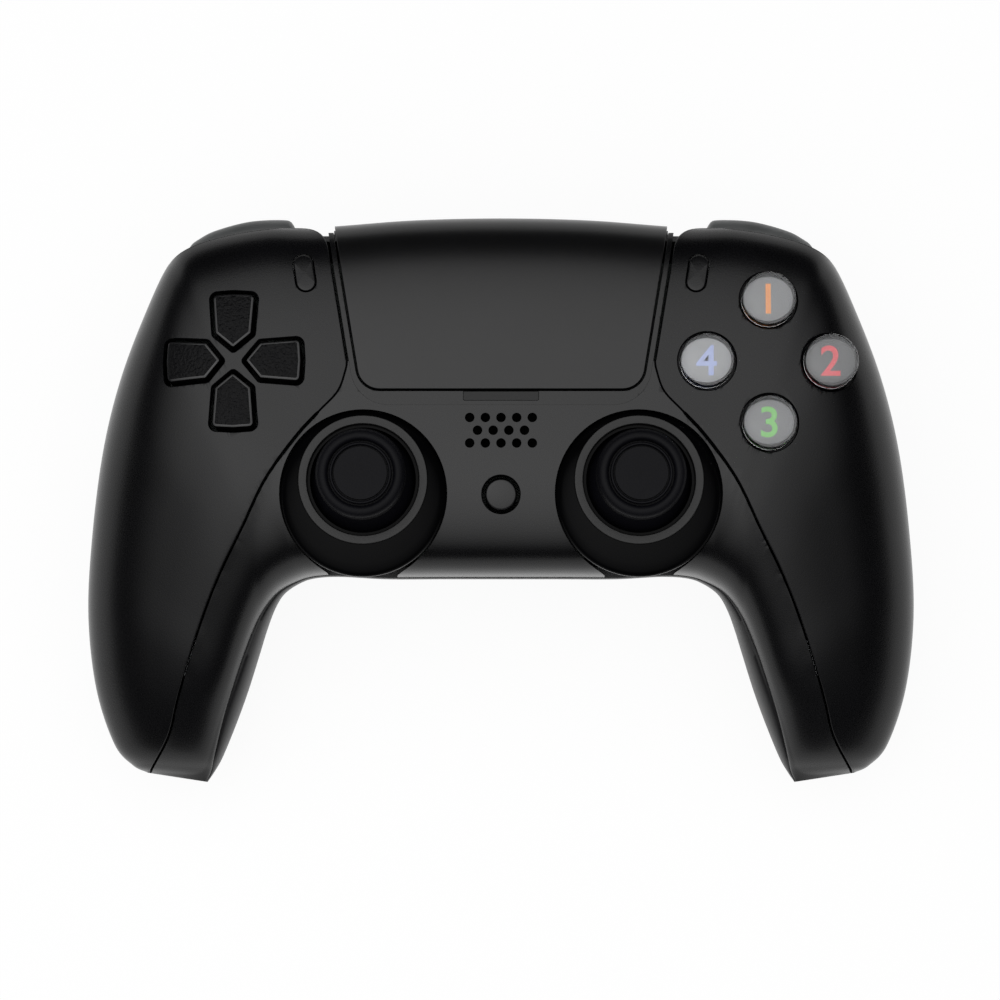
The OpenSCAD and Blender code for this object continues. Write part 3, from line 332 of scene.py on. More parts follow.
socket_rings = [np.column_stack([socket_x, np.full(48, y), socket_z]) for y in (47.0, 62.0)]
carve(rear_shell, wells + [loft("jack_hole", jack_rings), loft("socket_hole", socket_rings)])
smooth(rear_shell)
place_piece(rear_shell, rear_grain, "case", "rear_black", "rear_shell")

# Case screws: four pan-head steel screws with a cross recess, driven up the wells of the rear shell
# into the bosses of the wing covers. One nodes tree makes the screw and sets it at each well.
SCREW_HEAD_R = 2.0
SCREW_R = 1.0


def nodes_tree(name, sizes):
    """Empty geometry nodes tree with geometry in and out, an input for each named size, and a finish."""
    tree = bpy.data.node_groups.new(name, "GeometryNodeTree")
    tree.interface.new_socket("Geometry", in_out="INPUT", socket_type="NodeSocketGeometry")
    for size in sizes:
        tree.interface.new_socket(size, in_out="INPUT", socket_type="NodeSocketFloat")
    tree.interface.new_socket("Finish", in_out="INPUT", socket_type="NodeSocketMaterial")
    tree.interface.new_socket("Geometry", in_out="OUTPUT", socket_type="NodeSocketGeometry")
    return tree, tree.nodes.new("NodeGroupInput"), tree.nodes.new("NodeGroupOutput")


def math_node(tree, operation, a, b):
    """Math node fed by sockets or plain numbers."""
    node = tree.nodes.new("ShaderNodeMath")
    node.operation = operation
    for socket, value in zip(node.inputs, (a, b)):
        if isinstance(value, float):
            socket.default_value = value
        else:
            tree.links.new(value, socket)
    return node.outputs[0]


def set_at_points(tree, inputs, output, shape):
    """Ends a tree: one copy of the shape at each point, made real, with the finish."""
    spread = tree.nodes.new("GeometryNodeInstanceOnPoints")
    real = tree.nodes.new("GeometryNodeRealizeInstances")
    painted = tree.nodes.new("GeometryNodeSetMaterial")
    tree.links.new(inputs.outputs["Geometry"], spread.inputs["Points"])
    tree.links.new(shape, spread.inputs["Instance"])
    tree.links.new(spread.outputs["Instances"], real.inputs["Geometry"])
    tree.links.new(real.outputs["Geometry"], painted.inputs["Geometry"])
    tree.links.new(inputs.outputs["Finish"], painted.inputs["Material"])
    tree.links.new(painted.outputs["Geometry"], output.inputs["Geometry"])


def with_nodes(name, points, tree, values):
    """Runs a geometry nodes tree over points in millimetres and keeps the result as plain mesh."""
    mesh = bpy.data.meshes.new(name)
    mesh.from_pydata([[c * MM for c in p] for p in points], [], [])
    piece = bpy.data.objects.new(name, mesh)
    bpy.context.scene.collection.objects.link(piece)
    modifier = piece.modifiers.new("nodes", "NODES")
    modifier.node_group = tree
    for item in tree.interface.items_tree:
        if item.in_out == "INPUT" and item.name in values:
            modifier[item.identifier] = values[item.name]
    return bake(piece)


zinc_steel = finish("zinc_steel", (0.32, 0.33, 0.34), 0.34, grain=0.2, depth=0.004, drift=0.06, Metallic=1.0)
tree, inputs, output = nodes_tree("case_screw", ["Head radius", "Head height", "Shank radius", "Length"])


def upright(radius, length):
    """Cylinder node that stands on the point, with its sizes from the tree's inputs."""
    body = tree.nodes.new("GeometryNodeMeshCylinder")
    body.inputs["Vertices"].default_value = 32
    lift = tree.nodes.new("ShaderNodeCombineXYZ")
    raised = tree.nodes.new("GeometryNodeTransform")
    tree.links.new(inputs.outputs[radius], body.inputs["Radius"])
    tree.links.new(inputs.outputs[length], body.inputs["Depth"])
    tree.links.new(math_node(tree, "MULTIPLY", inputs.outputs[length], 0.5), lift.inputs["Z"])
    tree.links.new(body.outputs["Mesh"], raised.inputs["Geometry"])
    tree.links.new(lift.outputs["Vector"], raised.inputs["Translation"])
    return raised.outputs["Geometry"]


whole = tree.nodes.new("GeometryNodeMeshBoolean")
whole.operation = "UNION"
for rod in (upright("Head radius", "Head height"), upright("Shank radius", "Length")):
    tree.links.new(rod, whole.inputs["Mesh 2"])
slotted = tree.nodes.new("GeometryNodeMeshBoolean")
slotted.operation = "DIFFERENCE"
tree.links.new(whole.outputs["Mesh"], slotted.inputs["Mesh 1"])
for size in ((2.2, 0.5, 1.6), (0.5, 2.2, 1.6)):
    blade = tree.nodes.new("GeometryNodeMeshCube")
    blade.inputs["Size"].default_value = [c * MM for c in size]
    tree.links.new(blade.outputs["Mesh"], slotted.inputs["Mesh 2"])
set_at_points(tree, inputs, output, slotted.outputs["Mesh"])
screw_sizes = {"Head radius": SCREW_HEAD_R * MM, "Head height": SCREW_HEAD_H * MM,
               "Shank radius": SCREW_R * MM, "Length": SCREW_L * MM, "Finish": zinc_steel}
screws = with_nodes("case_screw_set", screw_points, tree, screw_sizes)
place_piece(smooth(screws, 40), zinc_steel, "case", "steel", "rear_screws")

# Inner works: boards, battery, frame, sockets, motors, springs and switches, all hidden in the closed case.
# They keep their own solids and take plain finishes: solder mask, shrink wrap, glass-filled nylon and steel.
board_mask = finish("board_mask", (0.003, 0.012, 0.008), 0.4, grain=1.2, depth=0.02, specular=0.3)
battery_wrap = finish("battery_wrap", (0.03, 0.033, 0.04), 0.35, grain=2.5, depth=0.03, specular=0.4)
frame_nylon = finish("frame_nylon", (0.008, 0.008, 0.009), 0.55, grain=0.5, depth=0.02, specular=0.25)
blackened_steel = finish("blackened_steel", (0.02, 0.02, 0.022), 0.45, grain=0.2, depth=0.004, Metallic=1.0)
speaker_cloth = finish("speaker_cloth", (0.0015, 0.0015, 0.0015), 0.8, grain=0.3, depth=0.02, specular=0.02)
dark_rubber = finish("dark_rubber", (0.012, 0.012, 0.013), 0.7, grain=0.4, depth=0.01, specular=0.2)
inner_finishes = {
    board_mask: ["main_board", "port_board", "left_stick_sensors", "right_stick_sensors"],
    battery_wrap: ["battery"],
    speaker_cloth: ["loudspeaker"],
    frame_nylon: ["inner_frame", "headphone_jack", "tact_switches", "bumper_switches",
                  "stick_switches", "left_stick_pivot", "right_stick_pivot"],
    zinc_steel: ["left_motor", "right_motor", "left_motor_weight", "right_motor_weight", "trigger_pins",
                 "left_trigger_spring", "right_trigger_spring", "charging_socket"],
    blackened_steel: ["left_stick_lever", "right_stick_lever", "left_stick_gimbal", "right_stick_gimbal",
                      "left_stick_housing", "right_stick_housing", "board_screws", "d_pad_pivot"],
    dark_rubber: ["d_pad_membrane", "face_membrane"]}
for material, names in inner_finishes.items():
    for name in names:
        nodes[name].data.materials.clear()
        nodes[name].data.materials.append(material)

# Triggers: curved finger paddles of black ABS, each on a steel pin across its bay. The finger face is full,
# with rounded sides and a lip at the foot, and three ribs run back to the hub.
TRIGGER_FINGER = [(53, 26.4), (52.6, 24), (51, 18), (49.6, 12.5), (49.2, 8), (50.2, 4), (52.4, 1.2)]
TRIGGER_INNER = [(49.4, 0.8), (47, 4.5), (46.2, 8), (46.6, 13), (47.6, 18), (48.2, 22.5)]
TRIGGER_BACK = [(44, 23.4), (44, 26.4)]
TRIGGER_FOOT = [(52.2, 0.2), (50.6, 0.2)]
TRIGGER_PIN = (39.5, 24.0)
HUB_R = 3.0
PIN_BORE_R = 1.55
SIDE_ROUND = 4.0
RIB_T = 1.6
FLARE = 0.7
SHOULDER_EDGE = [(39.9, 53), (41.6, 53.8), (48.4, 53.5), (55.1, 51.7), (58.3, 50), (60.7, 48.3)]


def curve(points, per_span=6):
    """Smooth open curve through points."""
    p = np.asarray(points, float)
    p = np.vstack([2 * p[0] - p[1], p, 2 * p[-1] - p[-2]])
    steps = np.arange(per_span)[:, None] / per_span
    spans = [between(p[k - 1], p[k], p[k + 1], p[k + 2], steps) for k in range(1, len(p) - 2)]
    return np.vstack(spans + [p[-2:-1]])


def mirrored(points, side):
    """Points moved to the left or kept on the right."""
    return np.asarray(points, float) * ([side, 1, 1] if np.asarray(points).shape[-1] == 3 else [side, 1])


trigger_black = finish("trigger_black", (0.003, 0.003, 0.0034), 0.34, grain=0.4, depth=0.02)
paddle = np.vstack([curve(TRIGGER_FINGER), TRIGGER_FOOT, curve(TRIGGER_INNER), TRIGGER_BACK])
paddle_spine = (49.0, 14.0)
edge_curve = curve(SHOULDER_EDGE, 8)
for name, side in (("left_trigger", -1), ("right_trigger", 1)):
    rings = []
    span = SHOULDER_X[1] - SHOULDER_X[0] + 2 * FLARE
    for x in span / 2 * (1 - np.cos(np.linspace(0, math.pi, 33))):
        edge = max(0.0, SIDE_ROUND - min(x, span - x))
        pulled = (SIDE_ROUND - math.sqrt(max(SIDE_ROUND**2 - edge**2, 0.01))) * 0.45
        outward = paddle - paddle_spine
        outward /= np.maximum(np.linalg.norm(outward, axis=1), 1e-6)[:, None]
        face = paddle - np.minimum(pulled, 1.5) * outward * [1, 1.6]
        across = SHOULDER_X[0] - FLARE + x
        behind = min(0, np.interp(across, edge_curve[:, 0], edge_curve[:, 1]) - 0.4 - TRIGGER_FINGER[0][0])
        face[:, 0] += behind * (0.4 + 0.6 * np.clip((face[:, 1] - 4) / 14, 0, 1))
        rings.append(np.column_stack([np.full(len(face), across), face]))
    body = loft(name + "_paddle", mirrored(np.array(rings), side))
    ring = np.linspace(0, 2 * math.pi, 48, endpoint=False)
    hub_rings = [np.column_stack([np.full(48, side * x), TRIGGER_PIN[0] + r * np.cos(ring),
                                  TRIGGER_PIN[1] + r * np.sin(ring)])
                 for x, r in ((SHOULDER_X[0], PIN_BORE_R), (SHOULDER_X[0], HUB_R), (SHOULDER_X[1], HUB_R),
                              (SHOULDER_X[1], PIN_BORE_R))]
    hub = loft("hub", hub_rings, looped=True)
    arm = [(TRIGGER_PIN[0], TRIGGER_PIN[1] - HUB_R), (48.6, 10), (49.6, 20), (48, 25.6), (44, 26.4),
           (TRIGGER_PIN[0] + 1, TRIGGER_PIN[1] + HUB_R - 0.4)]
    parts = [body, hub]
    for x in (SHOULDER_X[0], sum(SHOULDER_X) / 2 - RIB_T / 2, SHOULDER_X[1] - RIB_T):
        pulled = min(0, np.interp(x + RIB_T, edge_curve[:, 0], edge_curve[:, 1]) - 0.9 - TRIGGER_FINGER[0][0])
        held = [(y + pulled * np.clip((y - TRIGGER_PIN[0] - 1) / 5, 0, 1), z) for y, z in arm]
        parts.append(loft("rib", [[(side * (x + t), y, z) for y, z in held] for t in (0, RIB_T)]))
    trigger = smooth(join(name + "_paddle_and_hub", parts), 40)
    place_piece(trigger, trigger_black, name, "trigger_black", name)

# Bumpers: short grey-black shoulder keys above the triggers. Each has a half-round front edge that follows
# the plan curve of the case, and slides straight in on its two guides.
BUMPER_Z = (27.6, 37.6)
BUMPER_BACK = 44.6
NOSE_DEPTH = 4.0
BUMPER_X = (39.5, 60.3)
bumper_satin = finish("bumper_satin", (0.075, 0.078, 0.078), 0.42, grain=0.3, depth=0.015, specular=0.34)
for name, side in (("left_bumper", -1), ("right_bumper", 1)):
    rings = []
    middle_z, half_z = sum(BUMPER_Z) / 2, (BUMPER_Z[1] - BUMPER_Z[0]) / 2
    for x in np.linspace(*BUMPER_X, 49):
        front = np.interp(x, edge_curve[:, 0], edge_curve[:, 1])
        end = min(x - BUMPER_X[0], BUMPER_X[1] - x)
        shy = 1.2 - math.sqrt(max(1.44 - max(0.0, 1.2 - end) ** 2, 0))
        nose = [(front - NOSE_DEPTH - shy + NOSE_DEPTH * math.cos(a) ** 0.7,
                 middle_z + (half_z - shy) * math.copysign(abs(math.sin(a)) ** 0.7, math.sin(a)))
                for a in np.linspace(-math.pi / 2, math.pi / 2, 33)]
        ring = [(BUMPER_BACK, BUMPER_Z[0] + shy)] + nose + [(BUMPER_BACK, BUMPER_Z[1] - shy)]
        rings.append([(side * x, y, z) for y, z in ring])
    bumper = smooth(loft(name + "_key", rings), 40)
    place_piece(bumper, bumper_satin, name, "bumper_grey", name)

# Thumb sticks: black rubber over a hard core. A dome closes the hole under the cap, the cap has a soft
# rolled rim, and a thin raised line runs round its flat middle. Each is pressed on its steel lever.
STICK = (25.8, 1.6)
PIVOT_Z = FACE_Z - 8.0
CAP_R = 8.3
CAP_TOP = 22.0
DOME_R = 11.4
NECK_R = 4.4
LINE_R = 5.46


def arc(centre_r, centre_z, radius, start, end, steps):
    """Round stretch of a profile, in degrees from straight out."""
    turns = np.radians(np.linspace(start, end, steps))
    return [(centre_r + radius * math.cos(t), centre_z + radius * math.sin(t)) for t in turns]


stick_rubber = finish("stick_rubber", (0.002, 0.002, 0.003), 0.45, grain=0.25, depth=0.02, specular=0.07)
cap_profile = [(0, 5)] + arc(0, 0, DOME_R - 0.9, 60, 2, 12) + arc(0, 0, DOME_R, 2, 66, 28)
cap_profile += [(NECK_R - 0.3, CAP_TOP - 9), (NECK_R, CAP_TOP - 7.2), (NECK_R + 1.2, CAP_TOP - 6.2)]
cap_profile += [(CAP_R - 0.6, CAP_TOP - 5.6)] + arc(CAP_R - 0.5, CAP_TOP - 4.9, 0.5, -60, 0, 4)
cap_profile += arc(CAP_R - 1.4, CAP_TOP - 1.6, 1.4, 0, 90, 12)[:-1]
cap_profile += arc(CAP_R - 1.4, CAP_TOP - 1.05, 0.85, 90, 165, 8)
cap_profile += [(LINE_R + 0.56, CAP_TOP - 1.8), (LINE_R + 0.28, CAP_TOP - 1.8)]
cap_profile += arc(LINE_R, CAP_TOP - 1.1, 0.26, 0, 180, 10)
cap_profile += [(LINE_R - 0.28, CAP_TOP - 2.0), (LINE_R - 0.56, CAP_TOP - 2.0), (LINE_R - 0.6, CAP_TOP - 1.2),
                (0, CAP_TOP - 1.15)]
for name, side in (("left_stick", -1), ("right_stick", 1)):
    profile = [(r, PIVOT_Z + z) for r, z in cap_profile]
    cap = smooth(turned(name + "_thumb_cap", profile, (side * STICK[0], STICK[1])), 50)
    place_piece(cap, stick_rubber, name, "stick_rubber", name + "_cap")

# Bezel rings: flat satin rings let into the rim of each stick bowl, with a small chamfer on both edges.
# They are moulded in dark grey ABS and pressed on a ledge of the bowl.
RING_R = 12.1
RING_W = 1.7
RING_SEAT = 8.3
RING_TOP = 9.3
ring_satin = finish("ring_satin", (0.004, 0.004, 0.0042), 0.36, grain=0.25, depth=0.01, specular=0.27)
ring_profile = [(RING_R - RING_W, RING_SEAT), (RING_R, RING_SEAT), (RING_R, RING_TOP - 0.2)]
ring_profile += arc(RING_R - 0.2, RING_TOP - 0.2, 0.2, 0, 90, 5)
ring_profile += arc(RING_R - RING_W + 0.25, RING_TOP - 0.25, 0.25, 90, 180, 5)
for name, side in (("left_stick_ring", -1), ("right_stick_ring", 1)):
    profile = [(r, PIVOT_Z + z) for r, z in ring_profile]
    ring = smooth(turned(name + "_bezel", profile, (side * STICK[0], STICK[1]), 128, looped=True), 40)
    place_piece(ring, ring_satin, "case", "ring_grey", name)

# Centre fascia: the black satin cover between the grips, which carries the stick bowls, the sound holes and
# the home button. It is cut from the same front loft as the wings, with a small radius along each edge.
# Each bowl is a glossier ring set in a round hole of the cover.
SEAM_GAP = 0.4
RUN_GAP = 0.35
EDGE_R = 0.25
PLAN_TOP = 75.0
PAD_HALF = 26.3
PAD_BOTTOM = 18.8
PAD_CORNER = 4.2
PAD_LEAN = math.tan(math.radians(9.5))
GUIDE_W = 3.0
GUIDE_SIDE_W = 1.35
GUIDE_HALF = PAD_HALF + GUIDE_SIDE_W - GUIDE_W * PAD_LEAN
GUIDE_BOTTOM = PAD_BOTTOM - GUIDE_W
HAIRLINE = 0.06
HAIRLINE_END = 14.6
SEAM = [(28.85, 24.4), (29.15, 22.4), (30.6, 18.4), (34.1, 14.6), (38.6, 9.6), (44, 2), (48.3, -6.6),
        (52.6, -14.8), (55.9, -22.2), (59, -30.5), (61.8, -38.7), (63.8, -45.2), (67.2, -50.6), (72, -56)]


def front_rings(start, end, inset=0.0, drop=0.0):
    """Rings of the front half of the body."""
    rows = stations_at(np.linspace(start, end, math.ceil((end - start) / RING_STEP) + 1))
    angles = np.linspace(0, math.pi, ARC_STEPS + 1)
    rings = section(*front_edge(rows), FACE_Z - rows[:, 6], rows[:, 8], inset, angles)
    if drop:
        rings = np.concatenate([rings, rings[:, [-1, 0]] - [0, 0, drop]], axis=1)
    return rings


def face_height(points, inset=0.0):
    """Height of the front surface over plan points."""
    p = np.abs(np.asarray(points, float) * [1, 0]) + np.asarray(points, float) * [0, 1]
    low, high = np.zeros(len(p)), np.full(len(p), float(TIP))
    for _ in range(20):
        rows = stations_at((low + high) / 2)
        chord, reach = rows[:, 0:2] - rows[:, 3:5], p - rows[:, 3:5]
        beyond = chord[:, 0] * reach[:, 1] - chord[:, 1] * reach[:, 0] < 0
        low, high = np.where(beyond, (low + high) / 2, low), np.where(beyond, high, (low + high) / 2)
    rows = stations_at((low + high) / 2)
    a, za, b, zb = front_edge(rows)
    half = (a - b) / 2 * (1 - 2 * inset / np.linalg.norm(a - b, axis=1))[:, None]
    t = np.clip(np.sum((p - (a + b) / 2) * half, axis=1) / np.sum(half * half, axis=1), -1, 1)
    middle = (za + zb) / 2
    up = (1 - np.abs(t) ** rows[:, 8]) ** (1 / rows[:, 8])
    return middle + (za - zb) / 2 * t + (FACE_Z - rows[:, 6] - inset - middle) * up


def outward_normals(outline):
    """Mitred outward direction at each point of a closed outline that runs counter-clockwise."""
    step = np.roll(outline, -1, axis=0) - outline
    step /= np.linalg.norm(step, axis=1)[:, None]
    after = np.column_stack([step[:, 1], -step[:, 0]])
    before = np.roll(after, 1, axis=0)
    return (after + before) / (1 + np.sum(after * before, axis=1))[:, None]


def grown(outline, by):
    """Closed outline moved outwards by one distance, or one for each point. Negative moves it inwards."""
    return outline + outward_normals(outline) * np.reshape(by, (-1, 1))


def seam_inset(outline):
    """Half of the seam's width at each point: a hairline beside the light guide, then a wide gap."""
    x, y = np.abs(outline[:, 0]), outline[:, 1]
    beside = (y < SEAM[0][1] - 0.05) & (x < 36)
    narrowing = np.interp(y, (HAIRLINE_END - 0.6, HAIRLINE_END), (SEAM_GAP / 2, HAIRLINE))
    return np.where(beside, narrowing, SEAM_GAP / 2)


def counter_clockwise(outline):
    x, y = outline[:, 0], outline[:, 1]
    area = np.sum(x * np.roll(y, -1) - y * np.roll(x, -1))
    return outline if area > 0 else outline[::-1]


def rounded(corners, per_corner=10, step=0.8):
    """Closed outline from (x, y, radius) corners, with long stretches divided to follow the face."""
    corners = np.asarray(corners, float)
    points = []
    for i, (x, y, radius) in enumerate(corners):
        here = np.array([x, y])
        back = corners[i - 1, :2] - here
        ahead = corners[(i + 1) % len(corners), :2] - here
        back /= np.linalg.norm(back)
        ahead /= np.linalg.norm(ahead)
        opening = math.acos(np.clip(back @ ahead, -1, 1))
        if radius == 0 or opening > math.pi - 1e-3:
            points.append(here)
            continue
        run = radius / math.tan(opening / 2)
        centre = here + (back + ahead) / np.linalg.norm(back + ahead) * radius / math.sin(opening / 2)
        first = here + back * run - centre
        turn = math.pi - opening
        way = np.sign(back[1] * ahead[0] - back[0] * ahead[1])
        for t in np.linspace(0, way * turn, per_corner):
            points.append(centre + [first[0] * math.cos(t) - first[1] * math.sin(t),
                                    first[0] * math.sin(t) + first[1] * math.cos(t)])
    points = np.array(points)
    dense = []
    for a, b in zip(points, np.roll(points, -1, axis=0)):
        parts = max(1, math.ceil(np.linalg.norm(b - a) / step))
        dense += [a + (b - a) * i / parts for i in range(parts)]
    return counter_clockwise(np.array(dense))


def column(name, outline, edge, low=20.0, inset=0.0):
    """Upright column over a plan outline. Where its wall passes the face it leans in by a rounded edge,
    or out when edge is negative, as for a hole."""
    normals = outward_normals(outline)
    z = face_height(outline, inset)
    rows = [np.column_stack([outline, np.full(len(z), low)])]
    for lean, rise in ((0, -1.0), (0.06, -0.66), (0.22, -0.33), (0.5, -0.1), (1.0, 0.16)):
        rows.append(np.column_stack([outline - normals * edge * lean, z + abs(edge) * rise]))
    rows.append(np.column_stack([rows[-1][:, :2], np.full(len(z), PLAN_TOP)]))
    return loft(name, rows)


def tapered(half, bottom, corner):
    """Outline of the touchpad kind: straight lower edge, leaning sides, open at the top."""
    far = (PLAN_TOP - bottom) * PAD_LEAN
    return rounded([(-half, bottom, corner), (half, bottom, corner), (half + far, PLAN_TOP, 0),
                    (-half - far, PLAN_TOP, 0)])


guide_outline = tapered(GUIDE_HALF, GUIDE_BOTTOM, PAD_CORNER + GUIDE_W)
pad_outline = tapered(PAD_HALF, PAD_BOTTOM, PAD_CORNER)
seam = curve(SEAM, 8)
fascia_outline = counter_clockwise(np.vstack([seam, mirrored(seam, -1)[::-1]]))

HOLE_R = RING_R - RING_W - 0.1
DOME_CLEAR = DOME_R + RUN_GAP
SOUND_D = 1.8
SOUND_PITCH = 2.93
SOUND_ROWS = [(8.6, 5), (11.0, 4), (13.4, 5)]
HOME = (0.0, -1.0)
HOME_R = 2.9
HOME_GROOVE = 0.7
GUIDE_SEAM = 0.01
# Bowl rings: height over the stick's pivot, reach past the bezel ring and shift towards the player
BOWL = [(-9.0, 2.85, -1.65), (3.0, 3.3, -2.15), (6.2, 3.52, -2.4), (7.2, 3.3, -2.3), (7.95, 2.5, -1.75),
        (8.45, 1.6, -1.1), (8.85, 0.7, -0.45), (9.1, 0.06, 0)]
BOWL_RIM = (3.6, -2.4)
STEP_R = 9.8
VALLEY_DEPTH = 1.35
VALLEY_RUN = 3.0
black_satin = finish("black_satin", (0.0014, 0.0014, 0.0018), 0.28, grain=0.3, depth=0.012)
bowl_gloss = finish("bowl_gloss", (0.001, 0.001, 0.0012), 0.22, grain=0.6, depth=0.004, specular=0.04)


def dished(rings):
    """Front rings with the grip parts of the fascia dished a little just inside the wing seam."""
    x, y, z = np.abs(rings[..., 0]), rings[..., 1], rings[..., 2]
    apart = np.min(np.hypot(x[..., None] - seam[:, 0], y[..., None] - seam[:, 1]), axis=-1)
    inside = x < np.interp(y, seam[::-1, 1], seam[::-1, 0])
    fade = np.clip((x - 40) / 6, 0, 1) * np.clip((z - rings[:, -1:, 2]) / 3, 0, 1)
    sunk = rings.copy()
    sunk[..., 2] -= inside * fade * VALLEY_DEPTH * (1 - np.exp(-apart / VALLEY_RUN))
    return sunk


fascia = loft("fascia_cover", dished(front_rings(-TIP, TIP)))
carve(fascia, [column("keep", grown(fascia_outline, -seam_inset(fascia_outline)), EDGE_R, -5)], "INTERSECT")
cuts = [loft("hollow", front_rings(-HOLLOW_END, HOLLOW_END, WALL, 3)),
        column("guide_room", grown(guide_outline, GUIDE_SEAM), -0.02, -5),
        column("home_hole", circle(HOME, HOME_R + HOME_GROOVE, 0)[:, :2], -0.2)]
for side in (-1, 1):
    reach, shift = BOWL_RIM
    middle = (side * STICK[0], STICK[1] + shift)
    rings = [circle(middle, RING_R + reach + 0.05, PIVOT_Z + z) for z in (-12, 20)]
    cuts.append(loft("stick_well", rings))
carve(fascia, cuts)

sound_points = [((i - (count - 1) / 2) * SOUND_PITCH, y, FACE_Z)
                for y, count in SOUND_ROWS for i in range(count)]
tree, inputs, output = nodes_tree("sound_holes", ["Width", "Depth"])
pin = tree.nodes.new("GeometryNodeMeshCylinder")
pin.inputs["Vertices"].default_value = 32
tree.links.new(math_node(tree, "MULTIPLY", inputs.outputs["Width"], 0.5), pin.inputs["Radius"])
tree.links.new(inputs.outputs["Depth"], pin.inputs["Depth"])
set_at_points(tree, inputs, output, pin.outputs["Mesh"])
sound_pins = with_nodes("sound_pins", sound_points, tree,
                        {"Width": SOUND_D * MM, "Depth": 12 * MM, "Finish": black_satin})
carve(fascia, [sound_pins])
smooth(fascia)
place_piece(fascia, black_satin, "case", "fascia_black", "centre_fascia")
for name, side in (("left_stick_bowl", -1), ("right_stick_bowl", 1)):
    centre = np.array([side * STICK[0], STICK[1]])
    outside = curve(BOWL[:-1], 4).tolist() + [BOWL[-1]]
    rings = [circle(centre + [0, shift], RING_R + reach, PIVOT_Z + z, 128) for z, reach, shift in outside]
    inner_z = math.sqrt(DOME_CLEAR**2 - HOLE_R**2)
    inside = [(RING_R - 0.1, 8.2), (STEP_R + 0.1, 8.2), (STEP_R, 8.1), (STEP_R, inner_z + 1.2),
              (HOLE_R + 0.3, inner_z), (12.6, 1.6), (14, -3)]
    rings += [circle(centre, r, PIVOT_Z + z, 128) for r, z in inside]
    bowl = smooth(loft(name, rings, looped=True), 40)
    place_piece(bowl, bowl_gloss, "case", "fascia_black")

# Wing covers: the two long satin covers over the grips. The left one is cut for the four-way pad and the
# right one for the face buttons, each has a slot for its pill button, and both clip over the rear shell.
WING_TOP = [(42, 51), (50, 49.8), (57.5, 47.8), (63.5, 44.8), (68, 41.5), (76, 37)]
WING_CORNER = 5.6
WING_SHY = 0.25
FOUR_WAY = (50.2, 24.1)
FACE = (50.3, 24.1)
FACE_PITCH = 11.65
FACE_R = 5.1
WINDOW_REACH = 13.4
WINDOW_W = 9.3
PILL = (37.0, 41.0)
PILL_W = 3.6
PILL_L = 7.2
PILL_GAP = 0.2
BUMPER_ROOM = 0.4
wing_satin = finish("wing_satin", (0.0014, 0.0014, 0.0018), 0.28, grain=0.3, depth=0.012, specular=0.24)


def window(shrink=0.0):
    """Outline of the upper window of the four-way pad, about the pad's centre."""
    half = WINDOW_W / 2
    sharp = np.array([(0, 1.5), (WINDOW_W * 0.43, 4.8), (half, WINDOW_REACH - 0.3), (0, WINDOW_REACH),
                      (-half, WINDOW_REACH - 0.3), (-WINDOW_W * 0.43, 4.8)])
    sharp = grown(counter_clockwise(sharp), -shrink)
    radii = np.array([0.75, 0.9, 1.45, 9.0, 1.45, 0.9]) * (0.5 if shrink else 1)
    return rounded(np.column_stack([sharp, radii]), step=0.5)


def turned_about(outline, quarter, centre):
    """Outline turned clockwise by quarter turns and set about a centre."""
    c, s = math.cos(quarter * math.pi / 2), math.sin(quarter * math.pi / 2)
    return outline @ np.array([[c, -s], [s, c]]) + centre


def pill(grow=0.0):
    """Outline of the right pill button, in place."""
    half = (PILL_L - PILL_W) / 2
    turn = np.linspace(0, math.pi, 17)
    upper = np.column_stack([np.cos(turn), np.sin(turn)]) * (PILL_W / 2 + grow) + [0, half]
    outline = np.vstack([upper, -upper])
    lean = math.atan(PAD_LEAN)
    c, s = math.cos(lean), math.sin(lean)
    return outline @ np.array([[c, -s], [s, c]]) + PILL


wing_side = GUIDE_HALF + (WING_TOP[0][1] - GUIDE_BOTTOM) * PAD_LEAN + WING_SHY
wing_back = curve(WING_TOP, 8)[::-1]
wing_corners = [(*p, 0) for p in seam] + [(110, -110, 0), (110, 0, 0)]
wing_corners += [(*p, 0) for p in wing_back] + [(wing_side, WING_TOP[0][1], WING_CORNER)]
wing_outline = rounded(wing_corners)
quarters = [q * math.pi / 2 for q in range(4)]
button_centres = [(FACE[0] + FACE_PITCH * math.sin(q), FACE[1] + FACE_PITCH * math.cos(q)) for q in quarters]
windows = {-1: [turned_about(window(), q, FOUR_WAY) for q in range(4)],
           1: [circle(centre, FACE_R + RUN_GAP, 0)[:, :2] for centre in button_centres]}
for name, side in (("left_wing_cover", -1), ("right_wing_cover", 1)):
    ends = sorted((side * 1.2, side * TIP))
    wing = loft(name + "_skin", front_rings(*ends))
    shape = counter_clockwise(mirrored(grown(wing_outline, -seam_inset(wing_outline)), side))
    carve(wing, [column("keep", shape, EDGE_R, -5)], "INTERSECT")
    ends = sorted((side * 0.6, side * HOLLOW_END))
    x = sorted((side * (SHOULDER_X[0] - BAY_SIDE), side * (SHOULDER_X[1] + BAY_SIDE)))
    cuts = [loft("hollow", front_rings(*ends, WALL, 3)),
            block("bumper_room", (x[0], 42, 0), (x[1], 72, BUMPER_Z[1] + BUMPER_ROOM)),
            column("pill_slot", counter_clockwise(mirrored(pill(PILL_GAP), side)), -0.12)]
    cuts += [column("window", counter_clockwise(mirrored(w, side)), -0.35) for w in windows[side]]
    carve(wing, cuts)
    smooth(wing)
    place_piece(wing, wing_satin, "case", "cover_black", name)

